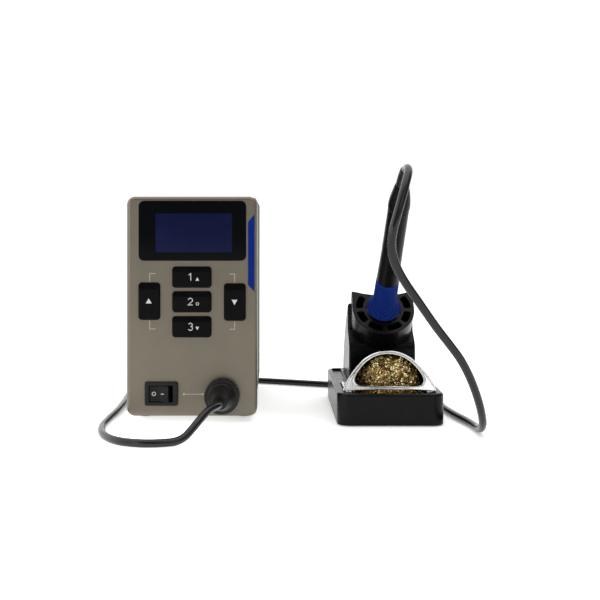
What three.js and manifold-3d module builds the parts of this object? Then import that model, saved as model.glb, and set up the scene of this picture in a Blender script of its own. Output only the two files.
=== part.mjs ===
// Bench soldering iron station: a control station, a stand with a brass-wool
// cleaner, and the iron resting in the stand on its cable. Millimetres, +Z up,
// +Y away from the front. The origin is on the table under the middle.
import * as THREE from 'three';
import Module from 'manifold-3d';
import { mergeVertices } from 'three/addons/utils/BufferGeometryUtils.js';

const wasm = await Module();
wasm.setup();

// ---------------------------------------------------------------- dimensions
const ORIGIN_X = 5.7, ORIGIN_Y = 41.62;            // middle of the footprint, in layout millimetres

// station
const ST_X0 = -100, ST_X1 = -12, ST_Z0 = 3.9, ST_Z1 = 152;   // front panel
const BEZEL_DEEP = 14, BEZEL_WALL = 2.6, PANEL = 3, BEZEL_R = 5.5;
const COVER_Y0 = 14.3, COVER_Y1 = 148, SHEET = 1.5;
const WIN = { x: -55.5, z: 128.9, w: 72, h: 40, r: 3.5 };
const KEY_W = 25.8, KEY_H = 13.6, KEY_X = -55.9, KEY_Z = [97.7, 81.1, 64.3];
const SIDE_W = 14, SIDE_H = 24.5, UP = [-84.5, 81.5], DOWN = [-27.0, 80.9];
const KEY_PROUD = 2.6;
const SWITCH = { x: -76.3, z: 19.4, w: 22.4, h: 16.1 };
const ROCKER = { x: -76.6, y: 3.4, z: 19.4, long: 10.6, off: -12 };
const SOCKET = { x: -35.4, z: 18.3 };
const RING_R = 11.7;

// stand
const SD_X = 76.2, SD_Y = -10, SD_H = 21.5;         // the tower's middle, the depth's zero, the base's top
const SB_X = 76.6, SD_W = 71.0, SD_S0 = -4, SD_S1 = 115;   // base: middle, width, front and back
const TOWER_HALF = 23.5;
const HOLD_TILT = 49;                              // turns +Z to the holder's axis, degrees about X
const FACE = [76.8, 32, 74.3];                     // middle of the holder's face
const BARREL_R = 21.8, HOLE_R = 12.3;

// cable
const CABLE_R = 2.5;

// ------------------------------------------------------------------- helpers
const rad = (d) => d * Math.PI / 180;

function solid(geometry) {
  const g0 = geometry.index ? geometry.toNonIndexed() : geometry.clone();
  for (const k of Object.keys(g0.attributes)) if (k !== 'position') g0.deleteAttribute(k);
  const g = mergeVertices(g0, 1e-4);
  const p = g.attributes.position.array, idx = g.index.array, tri = [];
  let volume = 0;
  for (let i = 0; i < idx.length; i += 3) {
    const [a, b, c] = [idx[i], idx[i + 1], idx[i + 2]];
    if (a === b || b === c || a === c) continue;
    tri.push(a, b, c);
    volume += p[3 * a] * (p[3 * b + 1] * p[3 * c + 2] - p[3 * b + 2] * p[3 * c + 1])
      - p[3 * a + 1] * (p[3 * b] * p[3 * c + 2] - p[3 * b + 2] * p[3 * c])
      + p[3 * a + 2] * (p[3 * b] * p[3 * c + 1] - p[3 * b + 1] * p[3 * c]);
  }
  if (volume < 0) for (let i = 0; i < tri.length; i += 3) [tri[i + 1], tri[i + 2]] = [tri[i + 2], tri[i + 1]];
  return new wasm.Manifold(new wasm.Mesh({ numProp: 3, vertProperties: new Float32Array(p), triVerts: new Uint32Array(tri) }));
}

function geometryOf(man) {
  const m = man.getMesh();
  const g = new THREE.BufferGeometry();
  g.setAttribute('position', new THREE.BufferAttribute(new Float32Array(m.vertProperties), 3));
  g.setIndex(new THREE.BufferAttribute(new Uint32Array(m.triVerts), 1));
  const flat = g.toNonIndexed();
  flat.computeVertexNormals();
  return flat;
}

const add = (...parts) => parts.reduce((a, b) => a.add(b));
const cut = (a, ...parts) => parts.reduce((m, b) => m.subtract(b), a);

function block(x0, x1, y0, y1, z0, z1) {
  const g = new THREE.BoxGeometry(x1 - x0, y1 - y0, z1 - z0);
  g.translate((x0 + x1) / 2, (y0 + y1) / 2, (z0 + z1) / 2);
  return solid(g);
}

function roundRect(cx, cy, w, h, r) {
  const s = new THREE.Shape(), x0 = cx - w / 2, x1 = cx + w / 2, y0 = cy - h / 2, y1 = cy + h / 2;
  s.moveTo(x0 + r, y0);
  s.lineTo(x1 - r, y0); s.absarc(x1 - r, y0 + r, r, -Math.PI / 2, 0, false);
  s.lineTo(x1, y1 - r); s.absarc(x1 - r, y1 - r, r, 0, Math.PI / 2, false);
  s.lineTo(x0 + r, y1); s.absarc(x0 + r, y1 - r, r, Math.PI / 2, Math.PI, false);
  s.lineTo(x0, y0 + r); s.absarc(x0 + r, y0 + r, r, Math.PI, 1.5 * Math.PI, false);
  return s;
}

function polygon(points) {
  return new THREE.Shape(points.map(([x, y]) => new THREE.Vector2(x, y)));
}

// a shape drawn in X and Z, from y0 to y1, with an optional rounded front edge
function plate(shape, y0, y1, edge = 0, steps = 2) {
  const g = new THREE.ExtrudeGeometry(shape, {
    depth: y1 - y0, curveSegments: steps, steps: 1,
    bevelEnabled: edge > 0, bevelThickness: edge, bevelSize: edge, bevelOffset: -edge, bevelSegments: 2,
  });
  g.rotateX(Math.PI / 2);
  g.translate(0, y1 + (edge > 0 ? edge : 0), 0);
  let m = solid(g);
  if (edge > 0) m = m.intersect(block(-300, 300, y0 - 1, y1, -300, 400));
  return m;
}

// a shape drawn in X and Y, from z0 to z1, with an optional rounded top edge
function slab(shape, z0, z1, edge = 0, steps = 3) {
  const g = new THREE.ExtrudeGeometry(shape, {
    depth: z1 - z0, curveSegments: steps, steps: 1,
    bevelEnabled: edge > 0, bevelThickness: edge, bevelSize: edge, bevelOffset: -edge, bevelSegments: 2,
  });
  g.translate(0, 0, z0 - (edge > 0 ? edge : 0));
  let m = solid(g);
  if (edge > 0) m = m.intersect(block(-300, 300, -300, 400, z0, z1 + 1));
  return m;
}

// a shape drawn in Y and Z, from x0 to x1
function slice(shape, x0, x1, edge = 0) {
  const g = new THREE.ExtrudeGeometry(shape, {
    depth: x1 - x0 - 2 * edge, curveSegments: 4, steps: 1,
    bevelEnabled: edge > 0, bevelThickness: edge, bevelSize: edge, bevelOffset: -edge, bevelSegments: 1,
  });
  g.applyMatrix4(new THREE.Matrix4().set(0, 0, 1, x0 + edge, 1, 0, 0, 0, 0, 1, 0, 0, 0, 0, 0, 1));
  return solid(g);
}

// a turned piece: [radius, position] pairs along Y (round) or Z (turned)
function lathe(profile, sides) {
  const pts = profile.map(([r, t]) => new THREE.Vector2(r, t));
  if (profile[0][0] > 0) pts.push(pts[0].clone());
  return new THREE.LatheGeometry(pts, sides);
}
function alongY(profile, cx, cz, sides = 24) {
  return solid(lathe(profile, sides).translate(cx, 0, cz));
}
function alongZ(profile, cx = 0, cy = 0, sides = 24) {
  return solid(lathe(profile, sides).rotateX(Math.PI / 2).translate(cx, cy, 0));
}
const rod = (r, a, b) => [[0, a], [r, a], [r, b], [0, b]];

const root = new THREE.Group();
root.position.set(-ORIGIN_X, -ORIGIN_Y, 0);

function piece(name, man, color, roughness = 0.6, metalness = 0, parent = root) {
  const mesh = new THREE.Mesh(geometryOf(man), new THREE.MeshStandardMaterial({ color, roughness, metalness }));
  mesh.name = name;
  parent.add(mesh);
  return mesh;
}

const TAUPE = 0x77736a, BLACK = 0x1b1c1c, RUBBER = 0x151515, STEEL = 0x9a9b9c, BLUE = 0x11265e, GREY = 0xbdbeb7;

// ------------------------------------------------------------ station, front
{
  const cx = (ST_X0 + ST_X1) / 2, cz = (ST_Z0 + ST_Z1) / 2, w = ST_X1 - ST_X0, h = ST_Z1 - ST_Z0;
  const outer = plate(roundRect(cx, cz, w, h, BEZEL_R), 0, BEZEL_DEEP, 2.4, 4);
  const inner = plate(roundRect(cx, cz, w - 2 * BEZEL_WALL, h - 2 * BEZEL_WALL, 3.2), PANEL, BEZEL_DEEP + 1);
  const holes = [
    plate(roundRect(WIN.x, WIN.z, WIN.w + 0.6, WIN.h + 0.6, WIN.r + 0.3), -1, 1.6),
    plate(roundRect(WIN.x, WIN.z, 61, 33, 2), 1, PANEL + 1),
    ...KEY_Z.map((z) => plate(roundRect(KEY_X, z, KEY_W + 0.7, KEY_H + 0.7, 2.3), -1, PANEL + 1)),
    plate(roundRect(UP[0], UP[1], SIDE_W + 0.7, SIDE_H + 0.7, 2.3), -1, PANEL + 1),
    plate(roundRect(DOWN[0], DOWN[1], SIDE_W + 0.7, SIDE_H + 0.7, 2.3), -1, PANEL + 1),
    block(SWITCH.x - 9.6, SWITCH.x + 9.6, -1, PANEL + 1, SWITCH.z - 6.65, SWITCH.z + 6.65),
    alongY(rod(8.4, -1, PANEL + 1), SOCKET.x, SOCKET.z, 28),
    plate(polygon([[-18.2, 92.5], [-13.7, 87.5], [-13.7, 140.5], [-18.2, 134.9]]), -1, 0.8),
  ];
  piece('front_bezel', cut(outer, inner, ...holes), TAUPE, 0.55);
}
piece('display_window', plate(roundRect(WIN.x, WIN.z, WIN.w, WIN.h, WIN.r), -0.25, 1.35, 0.4), 0x111214, 0.12);
piece('lcd_module', add(block(-87.5, -23.5, 3.3, 8.2, 110, 147.8), block(-83.5, -27.5, 1.8, 3.4, 114, 143.8)), 0x171b36, 0.3);
piece('accent_strip', plate(polygon([[-18.0, 92.7], [-13.9, 88.2], [-13.9, 139.8], [-18.0, 134.7]]), -0.1, 0.6), 0x052370, 0.4);

function key(name, x, z, w, h) {
  piece(name, add(
    plate(roundRect(x, z, w, h, 2), -KEY_PROUD, 3.5, 0.9, 2),
    block(x - w / 2 - 1.1, x + w / 2 + 1.1, 3.3, 4.4, z - h / 2 - 1.1, z + h / 2 + 1.1),
  ), 0x161617, 0.5);
}
key('key_preset_1', KEY_X, KEY_Z[0], KEY_W, KEY_H);
key('key_preset_2', KEY_X, KEY_Z[1], KEY_W, KEY_H);
key('key_preset_3', KEY_X, KEY_Z[2], KEY_W, KEY_H);
key('key_up', UP[0], UP[1], SIDE_W, SIDE_H);
key('key_down', DOWN[0], DOWN[1], SIDE_W, SIDE_H);

{
  const domes = [...KEY_Z.map((z) => [KEY_X, z]), UP, DOWN].map(([x, z]) => alongY([[0, 5.7], [2.6, 5.7], [4.2, 7.6], [0, 7.6]], x, z, 16));
  piece('key_mat', add(block(-94, -18, 7.4, 8.3, 55, 107), ...domes), 0xd9d9d2, 0.8);
  piece('control_board', add(
    block(-96, -16, 8.6, 10.2, 40, 147.5),
    block(-62, -50, 10.1, 11.8, 96, 108), block(-88, -68, 10.1, 17, 46, 54), block(-40, -24, 10.1, 16, 46, 53),
    alongY(rod(4, 10.1, 19), -82, 66, 16), alongY(rod(4, 10.1, 19), -72, 66, 16), block(-40, -28, 10.1, 13, 66, 80),
  ), 0x1f5a34, 0.6);
}

// ----------------------------------------------------- station, power switch
{
  const shell = add(
    plate(roundRect(SWITCH.x, SWITCH.z, SWITCH.w, SWITCH.h, 1.5), -1.9, -0.1, 0.5, 3),
    block(-85.7, -66.9, -0.2, 20, 12.95, 25.85),
  );
  const well = block(-84.7, -68.5, -3, 9, 13.8, 25.0);
  const tabs = [-83, -76.6, -70.2].map((x) => block(x - 0.4, x + 0.4, 19, 27, 17, 21.8));
  piece('switch_frame', add(cut(shell, well), ...tabs), 0x1d1e1e, 0.45);

  const s = polygon([[-6.64, -6.26], [0, -4.9], [6.64, -6.26], [7.2, -2.5], [6.6, 1.5], [2.5, 3.2], [-2.5, 3.2], [-6.6, 1.5], [-7.2, -2.5]]);
  const g = new THREE.ExtrudeGeometry(s, { depth: ROCKER.long, bevelEnabled: false });
  g.translate(0, 0, -ROCKER.long / 2);
  const m = piece('rocker', solid(g), 0x232425, 0.35);
  m.position.set(ROCKER.x, ROCKER.y, ROCKER.z);
  m.rotation.z = rad(ROCKER.off);
}

// --------------------------------------------- station, connector and plug
{
  const { x, z } = SOCKET;
  const pins = [0, 72, 144, 216, 288].map((a) => alongY(rod(0.7, 12.5, 17), x + 4 * Math.cos(rad(a)), z + 4 * Math.sin(rad(a)), 5));
  piece('output_socket', add(
    alongY([[0, 1], [6.4, 1], [6.4, -6], [8, -6], [8, -1.4], [10.4, -1.4], [10.4, -0.1], [8, -0.1], [8, 8], [6.6, 8], [6.6, 13], [0, 13]], x, z, 20),
    ...pins), STEEL, 0.35, 0.9);
  piece('socket_nut', cut(alongY(rod(11.4, 3.2, 5.8), x, z, 6), alongY(rod(8.3, 3, 6), x, z, 20)), STEEL, 0.4, 0.9);
  piece('plug_shell', alongY([[0, 0.6], [6.1, 0.6], [6.1, -6.1], [7.8, -6.1], [7.8, -7.1], [6.8, -7.1], [6.8, -12.4], [0, -12.4]], x, z, 20), 0x2a2b2c, 0.5);
  const teeth = [];
  for (let i = 0; i < 40; i++) {
    const a = rad(i * 9), r = i % 2 ? RING_R : RING_R - 0.5;
    teeth.push([r * Math.cos(a), r * Math.sin(a)]);
  }
  const knurl = plate(polygon(teeth.map(([a, b]) => [x + a, z + b])), -8.6, -1.7);
  piece('plug_ring', cut(knurl, alongY(rod(8.35, -7.4, -1), x, z, 20), alongY(rod(7.2, -9, -7), x, z, 20)), 0x202121, 0.55);
  piece('plug_boot', alongY([[7.2, -8.9], [9.5, -8.9], [9.5, -11], [8.6, -12.2], [7.2, -17], [5.6, -24], [4.9, -27.5], [0, -27.5], [0, -12.8], [7.2, -12.8]].slice(0, 8).concat([[0, -12.8], [7.2, -12.8]]), x, z, 24), RUBBER, 0.75);
}

// ------------------------------------------------------ station, enclosure
{
  const Z1 = 151.6, X0 = -99.2, X1 = -12.8;
  const out = plate(roundRect((X0 + X1) / 2, (7 + Z1) / 2, X1 - X0, Z1 - 7, 1.8), COVER_Y0, COVER_Y1);
  const inn = plate(roundRect((X0 + X1) / 2, (7 + Z1) / 2, X1 - X0 - 2 * SHEET, Z1 - 7 - 2 * SHEET, 0.6), COVER_Y0 - 1, COVER_Y1 + 1);
  piece('housing_cover', cut(out, inn, block(X0 + SHEET, X1 - SHEET, 0, 160, 0, 30), block(X0 - 1, X1 + 1, 0, 160, 0, 10.2)), GREY, 0.5);
  piece('chassis_base', add(
    block(-97.2, -14.8, 14.3, 145.7, 5, 6.5), block(-97.2, -95.7, 14.3, 145.7, 5, 18), block(-16.3, -14.8, 14.3, 145.7, 5, 18),
  ), 0x8f9294, 0.45, 0.8);

  const slots = [];
  for (let i = 0; i < 6; i++) slots.push(block(-90, -22, 145, 149, 112 + i * 5.2, 114.4 + i * 5.2));
  const holes = [[-93, 144], [-19, 144], [-93, 12], [-19, 12]];
  piece('rear_panel', cut(plate(roundRect(-56, 77.1, 82.4, 144.2, 2), 146, 148),
    block(-79.9, -52.1, 145, 149, 20.1, 53.9), 
    ...holes.map(([x, z]) => alongY(rod(1.7, 145, 149), x, z, 12)), ...slots), 0x2a2b2c, 0.5);
  holes.forEach(([x, z], i) => piece(`rear_screw_${i + 1}`, alongY([[0, 140], [1.35, 140], [1.35, 148.1], [2.8, 148.1], [2.4, 149.8], [0, 149.8]], x, z, 8), STEEL, 0.3, 0.9));

  [[-90, 26], [-22, 26], [-90, 136], [-22, 136]].forEach(([x, y], i) =>
    piece(`station_foot_${i + 1}`, alongZ([[0, 0], [5.4, 0], [6, 0.6], [6, 4.8], [0, 4.8]], x, y, 14), RUBBER, 0.9));
}

// --------------------------------------------------- station, power inside
{
  const cx = -56, cy = 88, z0 = 6.8;
  const core = block(cx - 31, cx + 31, cy - 17, cy + 17, z0, z0 + 52);
  const win = [[-20.8, -10.4], [10.4, 20.8]].map(([a, b]) => block(cx + a, cx + b, cy - 20, cy + 20, z0 + 10.4, z0 + 41.6));
  piece('transformer_core', cut(core, ...win), 0x6d7073, 0.5, 0.7);
  const coil = cut(
    slab(roundRect(cx, cy, 40.8, 56, 7), z0 + 10.8, z0 + 41.2), slab(roundRect(cx, cy, 21.4, 34.8, 0.6), z0 + 10, z0 + 42));
  piece('transformer_coil', coil, 0xa5642a, 0.5);

  piece('power_board', add(
    block(-93, -20, 31, 64, 11, 12.6), block(-60, -46, 36, 50, 12.5, 30), block(-40, -30, 40, 46, 12.5, 27),
    alongZ(rod(6, 12.5, 34), -80, 42, 16), alongZ(rod(6, 12.5, 34), -80, 56, 16), block(-42, -26, 52, 60, 12.5, 20),
    ...[[-90, 34], [-23, 34], [-90, 61], [-23, 61]].map(([x, y]) => alongZ(rod(2, 6.8, 11.1), x, y, 8)),
  ), 0x1f5a34, 0.6);

  const ix = -66;
  const body = add(block(ix - 15, ix + 15, 148.1, 150.6, 18, 56), block(ix - 13.5, ix + 13.5, 128, 148.2, 20.5, 53.5));
  const well = plate(roundRect(ix, 42.4, 24.6, 16.4, 2.5), 134.6, 152);
  const slot = block(ix - 11, ix + 11, 131, 152, 22, 30.4);
  const blades = [[-7, 42], [7, 42], [0, 46]].map(([dx, z]) => block(ix + dx - 1, ix + dx + 1, 124, 147, z - 2, z + 2));
  piece('mains_inlet', add(cut(body, well, slot), ...blades), 0x1a1a1b, 0.5);
  piece('fuse_drawer', add(block(ix - 10.6, ix + 10.6, 133, 149.6, 22.4, 30), block(ix - 12, ix + 12, 150.9, 152.4, 21.4, 31), block(ix - 10.6, ix + 10.6, 149.5, 151, 22.4, 30)), 0x222223, 0.5);
}

// -------------------------------------------------------------------- stand
{
  const y = (s) => SD_Y + s, cy = y((SD_S0 + SD_S1) / 2), SD_L = SD_S1 - SD_S0;
  const outer = slab(roundRect(SB_X, cy, SD_W, SD_L, 8.5), 0.4, SD_H, 1.2);
  const hollow = slab(roundRect(SB_X, cy, SD_W - 5, SD_L - 5, 6), 0, 18.6);
  const pocket = slab(roundRect(SB_X, y(21.45), 60.8, 44.1, 3), 10, 30);
  const channels = [-1, 1].map((k) => slab(roundRect(SD_X + k * 28.4, y(79.25), 7, 63.5, 1.2), 19.9, 30));
  piece('stand_base', cut(outer, hollow, pocket, ...channels,
    alongZ(rod(1.9, 15, 25), SD_X - 15, y(92), 12), alongZ(rod(1.9, 15, 25), SD_X + 15, y(92), 12)), 0x1d1e1e, 0.6);
  piece('stand_bottom_plate', slab(roundRect(SB_X, cy, SD_W - 6, SD_L - 6, 5.5), 1.3, 3.3), 0x55585a, 0.5, 0.8);
  [[-26, 5], [26, 5], [-26, 106], [26, 106]].forEach(([dx, s], i) =>
    piece(`stand_foot_${i + 1}`, alongZ([[0, 0], [4.6, 0], [5, 0.4], [5, 1.2], [0, 1.2]], SB_X + dx, y(s), 14), RUBBER, 0.9));
  [-15, 15].forEach((dx, i) =>
    piece(`tower_screw_${i + 1}`, alongZ([[0, 16.4], [3, 16.4], [3, 18.4], [1.4, 18.4], [1.4, 27.5], [0, 27.5]], SD_X + dx, y(92), 8), STEEL, 0.35, 0.9));

  const side = (o, z0) => {
    const p = o ? [[46.8, z0], [46.8, 46.6], [58.8, 55.6], [58.8, 72.4], [61, 71.2], [66, 66.8], [79, 56.4], [94.6, 36.6], [101.3, z0]]
      : [[44, z0], [44, 48], [56, 57], [56, 76.8], [60, 74.6], [68, 68.5], [81, 58], [90, 48], [97, 38], [101.5, 30], [104.4, z0]];
    return polygon(p.map(([s, z]) => [y(s), z]));
  };
  const shell = slice(side(false, 21.7), SD_X - TOWER_HALF, SD_X + TOWER_HALF, 1.2);
  const room = slice(side(true, 20), SD_X - TOWER_HALF + 2.6, SD_X + TOWER_HALF - 2.6);

  const U = (r, top, dip) => {
    const s = new THREE.Shape();
    s.moveTo(r, top);
    if (dip) s.quadraticCurveTo(0, top - 2 * dip, -r, top); else s.lineTo(-r, top);
    s.lineTo(-r, 0);
    s.absarc(0, 0, r, Math.PI, 2 * Math.PI, false);
    return s;
  };
  const tilt = new THREE.Matrix4().makeTranslation(...FACE).multiply(new THREE.Matrix4().makeRotationX(rad(HOLD_TILT)));
  const inFace = (shape, s0, s1, steps = 9) => {
    const g = new THREE.ExtrudeGeometry(shape, { depth: s1 - s0, curveSegments: steps, bevelEnabled: false });
    return solid(g.translate(0, 0, s0).applyMatrix4(tilt));
  };
  const barrel = inFace(U(BARREL_R, 15.1, 0.4), -30, 0);
  const scoop = new THREE.Shape();                   // the mouth's upper edge dips between its two horns
  scoop.moveTo(24, 15.1); scoop.lineTo(24, 18); scoop.lineTo(-24, 18); scoop.lineTo(-24, 15.1); scoop.lineTo(-21.4, 15.1);
  scoop.quadraticCurveTo(0, 7.7, 21.4, 15.1);
  const bore = inFace(U(BARREL_R - 2.6, 12.25, 0), -28, -4);
  const disc = (r) => { const s = new THREE.Shape(); s.absarc(0, 0, r, 0, 2 * Math.PI, false); return s; };
  const vent = (mid, half, r0, r1) => {
    const p = [];
    for (let i = 0; i <= 2; i++) { const a = rad(-90 + mid - half + i * half); p.push([r1 * Math.cos(a), r1 * Math.sin(a)]); }
    for (let i = 2; i >= 0; i--) { const a = rad(-90 + mid - half + i * half); p.push([r0 * Math.cos(a), r0 * Math.sin(a)]); }
    return inFace(polygon(p), -5, 1);
  };
  const vents = [[22.5, 17.4, 14.4, 19.6], [-22.5, 17.4, 14.4, 19.6], [64.5, 15.9, 14.4, 19.6], [-64.5, 15.9, 14.4, 19.6], [107.5, 17.6, 14.4, 19.5], [-107.5, 17.6, 14.4, 19.5]];
  const bosses = [-15, 15].map((dx) => alongZ(rod(3.6, 21.9, 44), SD_X + dx, y(92), 12).intersect(shell));
  const hollowed = cut(add(shell, barrel), room.add(bore));
  piece('stand_tower', cut(add(hollowed, ...bosses), inFace(disc(HOLE_R), -5, 1), inFace(scoop, -5, 1, 6), ...vents.map((v) => vent(...v)), 
    ...[-15, 15].map((dx) => alongZ(rod(1.8, 20, 29), SD_X + dx, y(92), 12))), 0x1b1c1c, 0.6);

  // tray, wool and guard of the tip cleaner
  const tray = slab(roundRect(SB_X, y(21.45), 59.2, 42.5, 2.6), 3.6, 20.6);
  const inside = slab(roundRect(SB_X, y(21.45), 56.2, 39.5, 1.6), 5.1, 25);
  piece('wool_tray', cut(tray, inside), 0x1a1a1b, 0.55);
  const heap = new THREE.SphereGeometry(1, 16, 8);
  heap.scale(18.3, 9.0, 22.9); heap.translate(SD_X + 3.0, y(20.6), 20);
  piece('brass_wool', add(slab(roundRect(SB_X, y(21.5), 54.4, 38.2, 1.4), 13, 19.4), block(61.5, 94.5, y(3), y(12), 13, 22.1),
    solid(heap).intersect(block(0, 200, -100, 200, 13, 100))), 0xa98a4a, 0.35, 0.8);

  // the guard: a bright arched frame leaning back, a closed hood behind it, and two rails under it
  const arch = (pts) => new THREE.CatmullRomCurve3(pts.map(([a, b]) => new THREE.Vector3(a, b, 0))).getPoints(18).map((p) => new THREE.Vector2(p.x, p.y));
  const whole = (half, top) => [...half, [0, top], ...half.slice().reverse().map(([a, b]) => [-a, b])];
  const outline = new THREE.Shape([...arch(whole([[31.6, 0], [30, 4], [27.6, 8.5], [22.4, 15.6], [15.8, 22.2], [8, 26.2]], 27.4)),
    ...[[-24, 0.5], [-14, 0.7], [14, 0.7], [24, 0.5]].map(([a, b]) => new THREE.Vector2(a, b))]);
  outline.holes.push(new THREE.Path(arch(whole([[18, 3.4], [21.4, 4.5], [22.9, 7.5], [20.6, 13.0], [14.5, 19.9], [7.6, 23.8]], 25.0))));
  const dg = new THREE.ExtrudeGeometry(outline, { depth: 1.6, bevelEnabled: false });
  dg.applyMatrix4(new THREE.Matrix4().makeTranslation(SD_X, y(3.4), 21.9).multiply(new THREE.Matrix4().makeRotationX(rad(70))));
  const RIM = [[25.0, -3], [25.0, 7.9], [22.4, 14.2], [15.9, 21.3], [8.4, 25.3], [0, 26.6]];
  // stations of the hood: depth, width factor, height factor
  const DOME = [[-0.5, 1, 1], [6, 1, 0.97], [12, 0.98, 0.9], [18, 0.94, 0.8], [22, 0.85, 0.67], [25.6, 0.68, 0.48], [28, 0.42, 0.28]];
  const dome = (inset) => {
    const ring = [...RIM, ...RIM.slice(0, -1).reverse().map(([a, b]) => [-a, b])];
    const n = ring.length, pos = [], idx = [];
    DOME.forEach(([d, g, f], k) => {
      const depth = k === 0 ? d - (inset ? 0.6 : 0) : d - inset;
      for (const [a, b] of ring) {
        const u = (Math.abs(a) < 0.01 ? 0 : a - Math.sign(a) * inset) * g, w = b < 0 ? b : (b - inset * Math.min(b / 12, 1)) * f;
        pos.push(SD_X + u, y(3.4 + 0.342 * w + depth), 21.9 + 0.94 * w);
      }
    });
    for (let k = 0; k + 1 < DOME.length; k++) for (let i = 0; i < n; i++) {
      const p = k * n + i, q = k * n + (i + 1) % n;
      idx.push(p, q, p + n, q, q + n, p + n);
    }
    for (let i = 1; i + 1 < n; i++) { idx.push(0, i + 1, i); const e = (DOME.length - 1) * n; idx.push(e, e + i, e + i + 1); }
    const g = new THREE.BufferGeometry();
    g.setAttribute('position', new THREE.BufferAttribute(new Float32Array(pos), 3));
    g.setIndex(idx);
    return solid(g);
  };
  const hood = cut(dome(0), dome(0.8)).intersect(block(0, 200, -100, 200, 21.0, 100));
  piece('wool_guard', add(solid(dg), hood,
    ...[-1, 1].map((k) => block(Math.min(SD_X + k * 24.6, SD_X + k * 29.3), Math.max(SD_X + k * 24.6, SD_X + k * 29.3), y(3.1), y(7.5), 21.0, 23.2)),
    ...[-1, 1].map((k) => block(Math.min(SD_X + k * 24.6, SD_X + k * 29.3), Math.max(SD_X + k * 24.6, SD_X + k * 29.3), y(2.2), y(42), 20.9, 22.3))), 0xb9bbbd, 0.25, 0.95);
}

// --------------------------------------------------------- iron and holder
const iron = new THREE.Group();
iron.position.set(...FACE);
iron.rotation.x = rad(HOLD_TILT);
root.add(iron);
piece('holder_tube', alongZ([[7.2, -50], [8.0, -50], [8.0, -14.5], [11.9, -14], [11.9, -4.4], [9.4, -4.4], [9.4, -13], [7.2, -14]], 0, 0, 20), STEEL, 0.35, 0.9, iron);
piece('iron_tip', alongZ([[0, -66], [0.5, -65.6], [2.4, -56], [3.1, -52.4], [4.4, -52.2], [4.4, -50.6], [3.2, -50.6], [3.2, -37], [0, -37]], 0, 0, 20), 0xb0713a, 0.35, 0.9, iron);
piece('heater_barrel', alongZ([[3.5, -50.2], [4.6, -50.2], [4.6, -4], [3.5, -4]], 0, 0, 20), STEEL, 0.3, 0.9, iron);
piece('heater_core', alongZ(rod(2.7, -36, 6), 0, 0, 16), 0xe6e2d6, 0.6, 0, iron);
piece('iron_collar', alongZ([[4.9, -12], [6.4, -12], [7.9, -9], [7.9, -2.0], [4.9, -2.0]], 0, 0, 18), STEEL, 0.35, 0.9, iron);
piece('iron_grip', alongZ([[6.5, -1.2], [10.6, -1.2], [11.6, 0.4], [11.9, 2.4], [11.3, 3.6], [9.9, 5.4], [8.8, 8], [8.4, 11], [8.2, 15], [7.75, 33], [6.5, 33]], 0, 0, 22), BLUE, 0.75, 0, iron);
piece('iron_handle', alongZ([[4.2, -1.2], [6.2, -1.2], [6.2, 33.3], [7.7, 33.3], [6.95, 65], [6.6, 104], [4.2, 104]], 0, 0, 20), 0x303231, 0.5, 0, iron);
piece('handle_board', block(-3.4, 3.4, -0.8, 0.8, 30, 84), 0x1f5a34, 0.6, 0, iron);
piece('handle_end_cap', alongZ([[3.2, 98], [3.9, 98], [3.9, 104.3], [6.5, 104.3], [6.85, 107], [4.4, 124], [3.2, 124]], 0, 0, 18), 0x262727, 0.5, 0, iron);
piece('strain_relief', alongZ([[0, 112], [2.9, 112], [2.9, 124.3], [4.0, 124.3], [3.5, 131], [0, 131]], 0, 0, 20), RUBBER, 0.8, 0, iron);

// -------------------------------------------------------------------- cable
// The route runs from the iron's strain relief over and down to the table,
// back along the stand, behind both units, round the station and up to the plug.
const HANG = [
  [76.8, -67.15, 160.55], [76.9, -73.6, 164.0], [77.1, -82.0, 165.1], [76.2, -91.5, 161.6], [73.6, -98.4, 154.5],
  [71.0, -102.4, 146.5], [68.4, -104.6, 138.0], [66.0, -104.8, 129.0], [65.1, -103.4, 120.5], [66.8, -101.0, 112.0],
  [70.4, -98.4, 104.5], [75.2, -95.6, 97.0], [81.05, -92.4, 89.2], [87.4, -88.4, 80.6], [94.1, -84.0, 71.8],
  [101.8, -79.4, 62.4], [109.2, -74.8, 53.0], [114.9, -70.4, 43.6], [119.4, -66.2, 34.4], [123.2, -61.6, 25.2],
  [126.2, -56.2, 16.6], [128.4, -49.4, 9.6], [129.4, -41.2, 5.0], [129.6, -32.0, 2.9],
];
const TO_COIL = [
  [129.0, -22.0, 2.55], [127.2, -8.0, 2.55], [124.4, 8.0, 2.55], [122.0, 24.0, 2.55], [120.6, 42.0, 2.55],
  [120.0, 62.0, 2.55], [119.0, 82.0, 2.55], [115.0, 100.0, 2.55], [106.0, 115.0, 2.55], [92.0, 125.0, 2.55],
  [74.0, 131.0, 2.55], [52.0, 137.0, 2.55], [28.0, 145.0, 2.55], [6.0, 153.0, 2.55], [-14.0, 159.6, 2.55],
  [-30.0, 163.6, 2.55], [-44.0, 165.0, 2.55],
];
const COIL = { x: -56, y: 190.2, r: 25.2, turns: 2, points: 16 };   // two turns, one on the other
const coil = [];
for (let i = 0; i <= COIL.turns * COIL.points; i++) {
  const a = -Math.PI / 2 - 2 * Math.PI * i / COIL.points, t = i / COIL.points;
  const lift = Math.min(Math.max((t - 0.62) / 0.34, 0), 1);
  coil.push([COIL.x + COIL.r * Math.cos(a), COIL.y + COIL.r * Math.sin(a), 2.55 + 5.2 * lift * lift * (3 - 2 * lift)]);
}
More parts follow.
